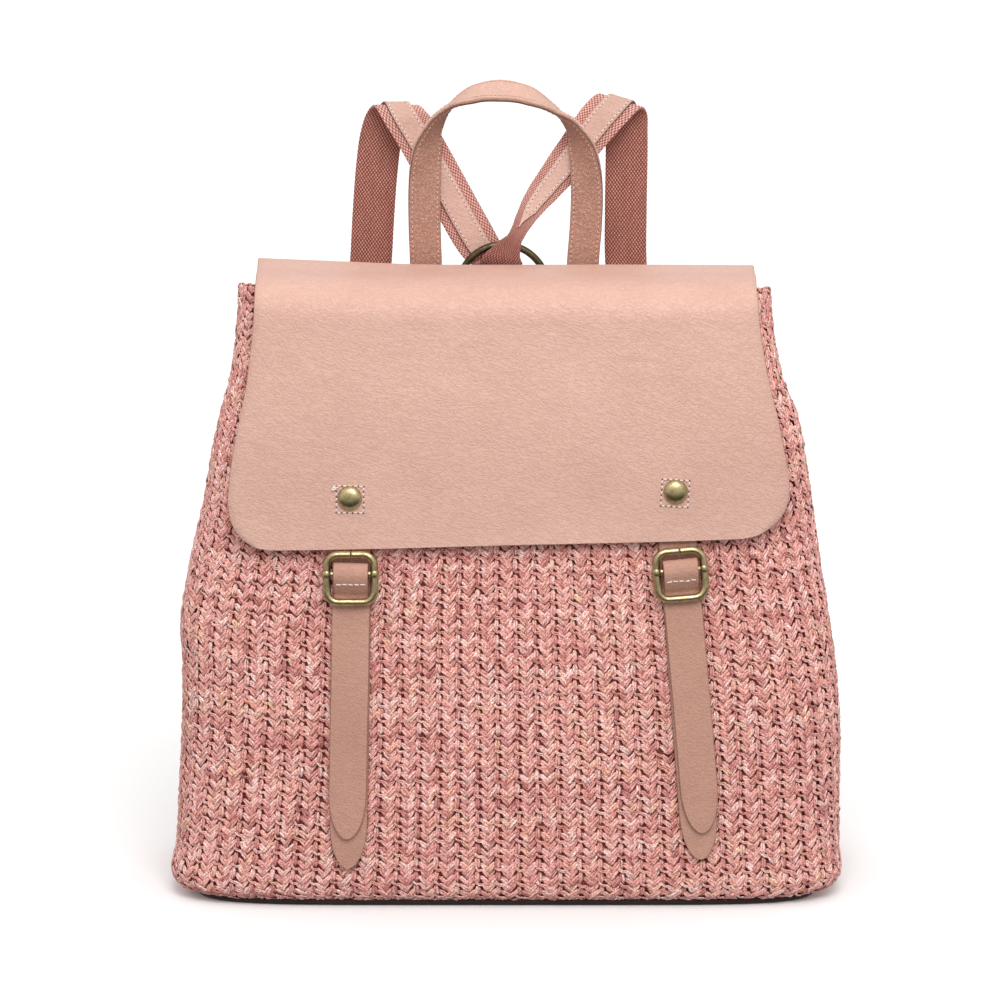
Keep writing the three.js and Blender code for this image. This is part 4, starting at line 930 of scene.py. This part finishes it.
def seam(threads, holes, p, n, pitch, length, r=0.36, jitter=0.05, hole=0.28):
    """Stitches along a line of points on a face; n is the face's direction at each point."""
    ln = np.concatenate([[0], np.cumsum(np.linalg.norm(np.diff(p, axis=0), axis=1))])
    k = max(1, int(round(ln[-1] / pitch)))
    step = ln[-1] / k
    for i in range(k):
        m = (i + 0.5) * step

        def at(s):
            s = min(max(s, 0), ln[-1])
            return np.array([np.interp(s, ln, p[:, c]) for c in range(3)])
        t = unit(at(m + 0.6) - at(m - 0.6))
        nn = unit(np.array([np.interp(m, ln, n[:, c]) for c in range(3)]))
        nn = unit(nn - t * np.dot(t, nn))
        side = np.cross(t, nn)
        slant = unit(t + side * rng.normal(0.05, jitter))
        co, faces = capsule(at(m) + side * rng.normal(0, jitter), slant, nn, length * (1 + rng.normal(0, 0.06)), r)
        threads.add(co, faces)
        if holes is not None:
            for e in ((-0.5, 0.5) if i == 0 else (0.5,)):
                co, faces = pit(at(m + e * step) + nn * 0.02, nn, hole)
                holes.add(co, faces)


def flap_stitches():
    threads, holes = Heap(), Heap()
    for s in FRONT_STRAPS:
        x0, z0 = s["rivet"]
        tilt = -0.012 if s["side"] == "left" else -0.07
        hx, hz = 6.15, 6.0
        corners = [(-1, 1), (1, 1), (1, -1), (-1, -1), (-1, 1)]
        for (ax, az), (bx, bz) in zip(corners[:-1], corners[1:]):
            f = np.linspace(0, 1, 15)
            dx, dz = (ax + (bx - ax) * f) * hx, (az + (bz - az) * f) * hz
            x, z = x0 + dx - tilt * dz, z0 + dz + tilt * dx
            y = flap_outside(x, z)
            p = np.stack([x, y - 0.05, z], 1)
            n = np.tile(unit(np.array([0, -1.0, 0.12])), (15, 1))
            seam(threads, holes, p, n, 2.3, 1.6, r=0.38, jitter=0.10, hole=0.46)
    # loose thread end by the left rivet
    x0, z0 = FRONT_STRAPS[0]["rivet"]
    for k, (dx, dz, ang) in enumerate([(-7.3, 5.7, 0.9), (-7.9, 4.7, 1.3), (-7.0, 4.6, 0.5), (-6.3, 5.4, 0.2)]):
        x, z = np.array([x0 + dx]), np.array([z0 + dz])
        p = np.array([x[0], flap_outside(x, z)[0] - 0.45, z[0]])
        co, faces = capsule(p, unit(np.array([math.cos(ang), 0, math.sin(ang)])), np.array([0, -1.0, 0.1]), 2.2, 0.42)
        threads.add(co, faces)
    # one row along the sewn back edge
    x = np.linspace(-112.5, 112.5, 120)
    z = np.full_like(x, 228.8)
    seam(threads, holes, np.stack([x, flap_back_y(z) + 0.05, z], 1), np.tile([0.0, 1.0, 0.0], (120, 1)), 3.6, 2.5)
    threads.make("flap_stitches", THREAD)
    holes.make("flap_needle_holes", HOLE)


flap_stitches()

# ------------------------------------------------------------------ front straps
def tip_half(d):
    return STRAP_HALF * np.sqrt(np.maximum(0.0008, 1 - (1 - np.minimum(1, np.maximum(d, 0) / TIP_LEN)) ** 2))


def strap_rings(p, n, half, thick, edge=0.5, across=None):
    t = unit(np.gradient(p, axis=0))
    w = unit(np.cross(n, t)) if across is None else unit(across - t * np.sum(across * t, 1, keepdims=True))
    nn = unit(np.cross(t, w))
    base = band_profile(STRAP_HALF, thick, 12, edge=edge)
    k, m = len(p), len(base)
    scale = half / STRAP_HALF
    x = base[None, :, 0] * scale[:, None]
    co = p[:, None] + x[..., None] * w[:, None] + base[None, :, 1:2] * nn[:, None]
    co = co.reshape(-1, 3)
    ln = np.concatenate([[0], np.cumsum(np.linalg.norm(np.diff(p, axis=0), axis=1))])
    j = np.arange(m)
    faces = [grid_faces(k, m, wrap_cols=True)]
    co = np.vstack([co, p[0], p[-1]])
    faces.append(np.stack([np.full(m, k * m), (j + 1) % m, j], 1))
    faces.append(np.stack([np.full(m, k * m + 1), (k - 1) * m + j, (k - 1) * m + (j + 1) % m], 1))
    rim = np.abs(base[:, 0]) > 0.965 * np.abs(base[:, 0]).max()
    return co, outward(co, faces), w, nn, np.append(np.tile(rim * 0.5, k), [0.5, 0.5])


def front_straps():
    threads = Heap()
    for s in FRONT_STRAPS:
        line, peek = along(s["line"], "z", "x"), along(s["line"], "z", "peek")
        tip = np.concatenate([[0, 0.12, 0.35, 0.8, 1.4, 2.2, 3.2, 4.4, 6, 8, 10.5, 13.5, 17], [TIP_LEN]])
        zs = np.concatenate([s["back_tip"] + tip, np.linspace(s["back_tip"] + TIP_LEN + 4, s["top"], 46)])
        p, n = on_face(line(zs), zs, LAY_GAP + BACK_STRAP_T / 2)
        co, faces, _, _, rim = strap_rings(p, n, tip_half(zs - s["back_tip"]), BACK_STRAP_T)
        make(f"strap_long_{s['side']}", co, faces, STRAPS, attrs={"raw": rim}, node=f"strap_back_{s['side']}", slot="strap_leather", sharp=60)

        z_bar = s["buckle"][1] + BAR_UP
        out = LAY_GAP + BACK_STRAP_T + PLY_GAP + FRONT_STRAP_T / 2
        up = np.array(LOOP)
        up[:, 0] = np.where(up[:, 0] > 0, up[:, 0] * (1 + 1.5 / up[:, 0].max()), up[:, 0])     # a full bend over the bar
        curve = Curve(np.column_stack([up, np.zeros(len(up))]))
        r = rows_even(curve, 0, len(up) - 1, 0.7)
        lp = curve.at(r)
        z1 = z_bar + lp[:, 0]
        p1, n1 = on_face(line(z1), z1, lp[:, 1])
        z2 = np.concatenate([np.linspace(z_bar - 19, s["front_tip"] + TIP_LEN + 3, 34), s["front_tip"] + tip[::-1]])
        p2, n2 = on_face(line(z2) - peek(z2), z2, out)
        p, n = np.vstack([p1, p2]), np.vstack([n1, n2])
        widen = np.clip((lp[:, 0].min() + 8 - lp[:, 0]) / 8, 0, 1) * (np.arange(len(lp)) > len(lp) / 2)
        half = np.concatenate([LOOP_HALF + (STRAP_HALF - LOOP_HALF) * widen, tip_half(z2 - s["front_tip"])])
        mid = len(p1) + 12
        t_mid = unit(p[mid + 1] - p[mid - 1])
        across = np.tile(unit(np.cross(n[mid], t_mid)), (len(p), 1))
        co, faces, w, nn, rim = strap_rings(p, n, half, FRONT_STRAP_T, across=across)
        make(f"strap_short_{s['side']}", co, faces, STRAPS, attrs={"raw": rim}, node=f"strap_front_{s['side']}", slot="strap_leather", sharp=60)
        # the row of stitches that closes the loop, seen in the buckle's window
        k = int(np.argmin(np.abs(lp[:, 0] + 4.1) + 100 * (np.arange(len(lp)) < len(lp) * 0.5)))
        face = nn[k] if np.dot(nn[k], n[k]) > 0 else -nn[k]
        f = np.linspace(-0.86, 0.86, 16)
        q = p[k] + face * (FRONT_STRAP_T / 2 + 0.02) + (f * LOOP_HALF)[:, None] * w[k]
        bend = 0.25 if s["side"] == "left" else 0.55
        q = q + np.outer(np.sin(f * 5.0) * bend * 0.4, np.cross(w[k], face))
        seam(threads, None, q, np.tile(face, (16, 1)), 2.5, 2.3, r=0.40, jitter=0.06 if s["side"] == "left" else 0.2)
    threads.make("strap_stitches", THREAD)


front_straps()

# ------------------------------------------------------------------ buckles and rivets
def placed(local, x, z, out, turn):
    """Points made in a plane (x across, y up the strap, z outwards) set on the front."""
    p, n = on_face(x, z, out)
    p, n = p[0], n[0]
    a = unit(np.array([1.0, 0, 0]) - n * n[0])
    u = np.cross(n, a)
    c, s = math.cos(math.radians(turn)), math.sin(math.radians(turn))
    xy = np.stack([local[:, 0] * c - local[:, 1] * s, local[:, 0] * s + local[:, 1] * c, local[:, 2]], 1)
    return p + xy[:, 0:1] * a + xy[:, 1:2] * u + xy[:, 2:3] * n


def tube(line, radius, sides=14, closed=False, up=(0, 0, 1)):
    line = np.asarray(line, float)
    k = len(line)
    t = unit(np.roll(line, -1, 0) - np.roll(line, 1, 0)) if closed else unit(np.gradient(line, axis=0))
    up = np.tile(np.asarray(up, float), (k, 1))
    side = unit(np.cross(t, up))
    upn = np.cross(side, t)
    rad = np.broadcast_to(np.asarray(radius, float), (k,))
    ang = np.arange(sides) / sides * 2 * math.pi
    co = (line[:, None] + rad[:, None, None] * (np.cos(ang)[None, :, None] * side[:, None] + np.sin(ang)[None, :, None] * upn[:, None])).reshape(-1, 3)
    faces = [grid_faces(k, sides, wrap_cols=True, wrap_rows=closed)]
    if not closed:
        j = np.arange(sides)
        co = np.vstack([co, line[0], line[-1]])
        faces.append(np.stack([np.full(sides, k * sides), (j + 1) % sides, j], 1))
        faces.append(np.stack([np.full(sides, k * sides + 1), (k - 1) * sides + j, (k - 1) * sides + (j + 1) % sides], 1))
    return co, faces


def buckles():
    hw, hh, r = BUCKLE_W / 2 - BUCKLE_WIRE, BUCKLE_H / 2 - BUCKLE_WIRE, BUCKLE_CORNER
    path = []
    for sx, sy, q in ((-1, 1, 1), (-1, -1, 2), (1, -1, 3), (1, 1, 4)):
        for i in range(13):
            a = (q + i / 12) * math.pi / 2
            path.append((sx * (hw - r) + r * math.cos(a), sy * (hh - r) + r * math.sin(a), 0))
    path = np.array(path)
    gap = 0.16
    xs = np.array([gap, gap + 0.05, gap + 0.2, gap + 0.6])
    start = np.stack([-xs + 0.3, np.full(4, hh), np.zeros(4)], 1)
    end = np.stack([xs[::-1] + 0.3, np.full(4, hh), np.zeros(4)], 1)
    more = []
    full = np.vstack([start, path, end])
    for a, b in zip(full[:-1], full[1:]):
        d = np.linalg.norm(b - a)
        k = max(1, int(d / 1.5))
        more.extend(a + (b - a) * i / k for i in range(k))
    full = np.vstack([more, full[-1]])
    rad = np.full(len(full), BUCKLE_WIRE)
    rad[[0, -1]] *= 0.72
    rad[[1, -2]] *= 0.9
    for s in FRONT_STRAPS:
        heap = Heap()
        bx, bz, turn = s["buckle"]
        co, faces = tube(full, rad)
        heap.add(placed(co, bx, bz, BUCKLE_OUT, turn), faces)
        bar = np.stack([np.linspace(-hw, hw, 12), np.full(12, BAR_UP), np.zeros(12)], 1)
        co, faces = tube(bar, BAR_R)
        heap.add(placed(co, bx, bz, BUCKLE_OUT, turn), faces)
        for sx in (-1, 1):
            ys = np.array([-1.55, -1.5, -1.2, 0, 1.2, 1.5, 1.55])
            line = np.stack([np.full(7, sx * hw), BAR_UP + ys, np.zeros(7)], 1)
            co, faces = tube(line, np.array([0.80, 0.93, 1.0, 1.03, 1.0, 0.93, 0.80]) * (NUB_R + 0.05))
            heap.add(placed(co, bx, bz, BUCKLE_OUT, turn), faces)
            xs2 = np.array([1.6, 1.75, 2.1, 2.9, 3.1])
            line = np.stack([sx * (hw - xs2), np.full(5, BAR_UP), np.zeros(5)], 1)
            co, faces = tube(line, np.array([1.3, 1.75, 1.85, 1.75, 1.35]))
            heap.add(placed(co, bx, bz, BUCKLE_OUT, turn), faces)
        heap.make(f"buckle_wire_{s['side']}", BRASS, node=f"buckle_{s['side']}", slot="brass", sharp=50)


def rivets():
    prof = np.array([[0.0, 0.0], [0.90, 0.0], [0.985, 0.04], [1.0, 0.12], [0.99, 0.22], [0.955, 0.31], [0.89, 0.40], [0.79, 0.48],
                     [0.66, 0.545], [0.50, 0.59], [0.32, 0.617], [0.15, 0.628], [0.0, 0.63]]) * RIVET_R
    for s in FRONT_STRAPS:
        x, z = s["rivet"]
        k, sides = len(prof), 48
        ang = np.arange(sides) / sides * 2 * math.pi
        mid = prof[1:-1]
        co = np.stack([mid[:, 0:1] * np.cos(ang), mid[:, 0:1] * np.sin(ang), np.repeat(mid[:, 1:2], sides, 1)], -1).reshape(-1, 3)
        co = np.vstack([co, [[0, 0, 0], [0, 0, prof[-1, 1]]]])
        m = len(mid)
        j = np.arange(sides)
        faces = [grid_faces(m, sides, wrap_cols=True), np.stack([np.full(sides, m * sides), (j + 1) % sides, j], 1),
                 np.stack([np.full(sides, m * sides + 1), (m - 1) * sides + j, (m - 1) * sides + (j + 1) % sides], 1)]
        co = placed(co, x, z, FLAP_FRONT_GAP + FLAP_T + LAY_GAP, 0)
        make(f"rivet_dome_{s['side']}", co, outward(co, faces), BRASS, node=f"rivet_{s['side']}", slot="brass")


buckles()
rivets()

# ------------------------------------------------------------------ handle
def sewn_on_flap(rows, thick):
    return np.array([[x, float(flap_back_y(z)) + PLY_GAP + thick / 2, z, 0, 1, 0] for x, z in rows])


def handle():
    rows = np.vstack([sewn_on_flap(HANDLE_ENDS, HANDLE_T), HANDLE, sewn_on_flap(HANDLE_ENDS_RIGHT, HANDLE_T)])
    curve = Curve(rows[:, :3])
    r = rows_even(curve, 0, len(rows) - 1, 1.5)
    p, t = curve.at(r), curve.tangent(r)
    n0 = ease(None, unit(rows[:, 3:6]), r)
    w = unit(np.cross(n0, t))
    n = unit(np.cross(t, w))
    co, faces, uv, side = swept(p, w, n, band_profile(HANDLE_HALF, HANDLE_T, 14, edge=0.6))
    make("handle_strap", co, outward(co, faces), TRIM, uv=uv, attrs={"raw": ((np.abs(side) > 0.985) & (uv[:, 1] > 20)) * 0.85}, node="handle", slot="handle_leather", sharp=60)
    threads, holes = Heap(), Heap()
    for face in (1, -1):
        for side in (1, -1):
            q = p + w * side * (HANDLE_HALF - 1.55) + n * face * (HANDLE_T / 2 + 0.03)
            seam(threads, holes, q[2:-2], n[2:-2] * face, 2.3, 1.6, r=0.30)
    threads.make("handle_stitches", DULL)
    holes.make("handle_needle_holes", HOLE)


handle()

# ------------------------------------------------------------------ shoulder strap and ring
def sewn_on_back(rows, thick):
    out = []
    for x, z in rows:
        p, n = on_face(x, z, SEAM_GAP + thick / 2, 1)
        s = -math.copysign(1, x)
        out.append([*p[0], s, s * -n[0][0] / n[0][1], s * -0.06, 1])
    return np.array(out)


def shoulder_straps():
    rows = np.vstack([sewn_on_back(STRAP_ENDS_LEFT, WEB_T), STRAP, sewn_on_back(STRAP_ENDS_RIGHT, WEB_T)])
    curve = Curve(rows[:, :3])
    last = len(rows) - 1

    # the right half lies other face out, so its crosswise direction starts reversed
    across = {"left": unit(rows[:, 3:6]), "right": unit(rows[:, 3:6])}
    across["right"][:STRAP_MEET + 1] *= -1

    def stations(side, a, b, step, lift=0.0):
        r = rows_even(curve, a, b, step)
        p, t = curve.at(r), curve.tangent(r)
        w = unit(ease(None, across[side], r))
        n = unit(np.cross(t, w))
        return p + n * lift, t, w, n, ease(None, rows[:, 6], r)

    lift = WEB_T / 2 + STRIP_GAP + STRIP_T / 2
    threads, holes = Heap(), Heap()
    for side, a, b, la, lb in (("left", 0, STRAP_MEET - 0.04, STRIP_FROM, STRAP_MEET - STRIP_STOP),
                               ("right", STRAP_MEET + 0.04, last, STRAP_MEET + STRIP_PAST, last - STRIP_FROM)):
        p, t, w, n, half = stations(side, a, b, 1.8)
        co, faces, uv, _ = swept(p, w, n, band_profile(WEB_HALF, WEB_T, 14, edge=0.7), half, 1 / np.sqrt(np.minimum(half, 1)))
        # painted shade: darker where it is gathered through the ring
        dim = np.clip((34 - uv[:, 0]) / 20, 0, 1) if side == "right" else np.zeros(len(uv))
        make(f"webbing_{side}", co, outward(co, faces), WEB, uv=uv, attrs={"dim": dim}, node=f"strap_{side}", slot="webbing", sharp=70)
        p, t, w, n, half = stations(side, la, lb, 2.0, lift - 0.22)
        if side == "right":     # the webbing's edge turns over the strip where the strap is gathered
            thin = np.clip(np.arange(len(p)) / 5.0, 0.15, 1)
            p, half = p + w * ((1 - thin) * 1.2)[:, None], half * thin
        co, faces, uv, rim = swept(p, w, n, band_profile(STRIP_HALF, STRIP_T + 0.4, 12, edge=0.6), half)
        # painted light: paler on the runs down to the ring
        run = uv[:, 0] if side == "right" else uv[:, 0].max() - uv[:, 0]
        # the dark line on one edge only (rim below -0.985) is the raw edge's colour and painted shadow of the gap
        # beside it
        make(f"strap_strip_{side}", co, outward(co, faces), STRIP, uv=uv, attrs={"raw": rim < -0.985, "pale": np.clip((84 - run) / 34, 0, 1)}, node=f"strap_leather_{side}", slot="handle_leather", sharp=60)
        for s in (1, -1):
            q = p + w * s * np.maximum(half * STRIP_HALF - 1.35, 0.3)[:, None] + n * (STRIP_T / 2 + 0.22)
            a0 = 4 if side == "right" else 2
            seam(threads, holes, q[a0:-2], n[a0:-2], 2.25, 1.6, r=0.30)
        for k in ((2, 8) if side == "left" else (-3, -9)):
            f = np.linspace(-1, 1, 9)[:, None] * (half[k] * STRIP_HALF - 2.4)
            seam(threads, holes, p[k] + w[k] * f + n[k] * (STRIP_T / 2 + 0.22), np.tile(n[k], (9, 1)), 2.25, 1.6, r=0.30)
    threads.make("shoulder_stitches", THREAD)
    holes.make("shoulder_needle_holes", HOLE)


def ring():
    lean = math.radians(RING_LEAN)
    ang = np.arange(96) / 96 * 2 * math.pi
    flat = np.stack([RING_R * np.cos(ang), np.zeros(96), RING_R * np.sin(ang)], 1)
    co, faces = tube(flat, RING_WIRE, 16, closed=True, up=(0, 1, 0))
    y = co[:, 1] * math.cos(lean) - co[:, 2] * math.sin(lean)
    z = co[:, 1] * math.sin(lean) + co[:, 2] * math.cos(lean)
    co = np.stack([co[:, 0], y, z], 1) + np.array(RING_AT)
    make("ring_wire", co, outward(co, faces), BRONZE, node="ring", slot="bronze")


def ring_tab():
    lean = math.radians(RING_LEAN)
    wy, wz = RING_AT[1] + RING_R * math.sin(lean), RING_AT[2] - RING_R * math.cos(lean)
    r = RING_WIRE + PLY_GAP + TAB_T / 2
    rise = RING_R - math.sqrt(RING_R ** 2 - TAB_HALF ** 2) + PLY_GAP
    inner = lambda z: float(flap_back_y(z)) + PLY_GAP + TAB_T / 2
    side = [(inner(231), 231), (inner(240), 240)]
    for i in range(9):
        a = math.pi * (1 - i / 8)
        side.append((wy + r * math.cos(a), wz + (r + rise) * math.sin(a)))
    side += [(inner(241) + 2 * TAB_T, 241), (inner(231) + TAB_T + 0.5, 231)]
    pts = np.array([(RING_AT[0], y, z) for y, z in side])
    curve = Curve(pts)
    rr = rows_even(curve, 0, len(pts) - 1, 0.8)
    p, t = curve.at(rr), curve.tangent(rr)
    w = np.tile([1.0, 0, 0], (len(p), 1))
    n = unit(np.cross(t, w))
    co, faces, uv, _ = swept(p, w, n, band_profile(TAB_HALF, TAB_T, 8, edge=0.4))
    make("ring_tab_leather", co, outward(co, faces), STRAPS, uv=uv, node="ring_tab", slot="strap_leather", sharp=60)
    threads = Heap()
    f = np.linspace(-0.8, 0.8, 8) * TAB_HALF
    q = np.stack([RING_AT[0] + f, np.full(8, p[-1][1] + TAB_T / 2 + 0.1), np.full(8, 234.0)], 1)
    seam(threads, None, q, np.tile([0.0, 1.0, 0.0], (8, 1)), 2.6, 2.0, r=0.34)
    threads.make("ring_tab_stitches", THREAD)


shoulder_straps()
ring()
ring_tab()

# ------------------------------------------------------------------ floor, light, camera
def plane(name, size, loc=(0, 0, 0), rot=(0, 0, 0)):
    me = bpy.data.meshes.new(name)
    s = size / 2
    me.from_pydata([(-s, -s, 0), (s, -s, 0), (s, s, 0), (-s, s, 0)], [], [(0, 1, 2, 3)])
    ob = bpy.data.objects.new(name, me)
    ob.location, ob.rotation_euler = loc, rot
    bpy.context.scene.collection.objects.link(ob)
    return ob


floor = plane("floor", 60.0)
fm, fnt, fsh = new_material("floor_white", rough=0.9, spec=0.1)
fsh.inputs["Base Color"].default_value = (0.96, 0.957, 0.955, 1)
fsh.inputs["Emission Color"].default_value = (1, 1, 1, 1)
# painted light: the floor glows, faintly near the bag and more towards its far edges, so it reads white
away = node(fnt, "ShaderNodeVectorMath", {0: node(fnt, "ShaderNodeTexCoord").outputs["Object"]}, operation="LENGTH").outputs["Value"]
fnt.links.new(ramp(fnt, maths(fnt, "MULTIPLY", away, 0.4), [(0.08, (0.04, 0.04, 0.04, 1)), (0.36, (0.20, 0.20, 0.20, 1)), (0.9, (0.30, 0.30, 0.30, 1))]), fsh.inputs["Emission Strength"])
floor.data.materials.append(fm)
# the sweep is lit for the picture only; light from below comes from the dim lower half of the room
floor.visible_diffuse = False
floor.visible_glossy = False

scene = bpy.context.scene
world = bpy.data.worlds.new("studio")
scene.world = world
world.use_nodes = True
wnt = world.node_tree
wnt.nodes.clear()
wout = wnt.nodes.new("ShaderNodeOutputWorld")
wbg = wnt.nodes.new("ShaderNodeBackground")
wtc = wnt.nodes.new("ShaderNodeTexCoord")
wsep = wnt.nodes.new("ShaderNodeSeparateXYZ")
wnt.links.new(wtc.outputs["Generated"], wsep.inputs[0])
height = maths(wnt, "MULTIPLY_ADD", wsep.outputs["Z"], 0.5, 0.5)
sky = ramp(wnt, height, [(0.0, (0.42, 0.41, 0.41, 1)), (0.46, (0.46, 0.455, 0.45, 1)), (0.54, (0.58, 0.58, 0.58, 1)), (0.75, (0.82, 0.82, 0.82, 1)), (1.0, (1.0, 1.0, 1.0, 1))])
wnt.links.new(sky, wbg.inputs[0])
wbg.inputs[1].default_value = 1.0
wnt.links.new(wbg.outputs[0], wout.inputs[0])


def area(name, loc, target, size, power):
    li = bpy.data.lights.new(name, "AREA")
    li.shape, li.size, li.energy = "SQUARE", size, power
    ob = bpy.data.objects.new(name, li)
    ob.location = loc
    ob.rotation_euler = (Vector(target) - Vector(loc)).to_track_quat("-Z", "Y").to_euler()
    scene.collection.objects.link(ob)
    return ob


area("key", (0.12, -1.20, 1.35), (0, 0, 0.17), 0.9, 15.5)

# a dark card low in front, seen only in the metal's reflections
flag = plane("flag", 1.8, (0.0, -1.10, 0.01))
gm, gnt, gsh = new_material("flag_dark", rough=0.9, spec=0.0)
gsh.inputs["Base Color"].default_value = (0.03, 0.03, 0.03, 1)
flag.data.materials.append(gm)
flag.visible_camera = flag.visible_diffuse = flag.visible_shadow = False

scene.view_settings.view_transform = "Standard"
scene.view_settings.look = "None"

cam_data = bpy.data.cameras.new("camera")
cam_data.sensor_width, cam_data.lens = 36.0, 127.8
cam = bpy.data.objects.new("camera", cam_data)
elev, dist, target = math.radians(11.0), 1.650, (-0.0028, 0.0, 0.1786)
cam.location = (target[0], target[1] - dist * math.cos(elev), target[2] + dist * math.sin(elev))
cam.rotation_euler = (math.pi / 2 - elev, 0, 0)
scene.collection.objects.link(cam)
scene.camera = cam
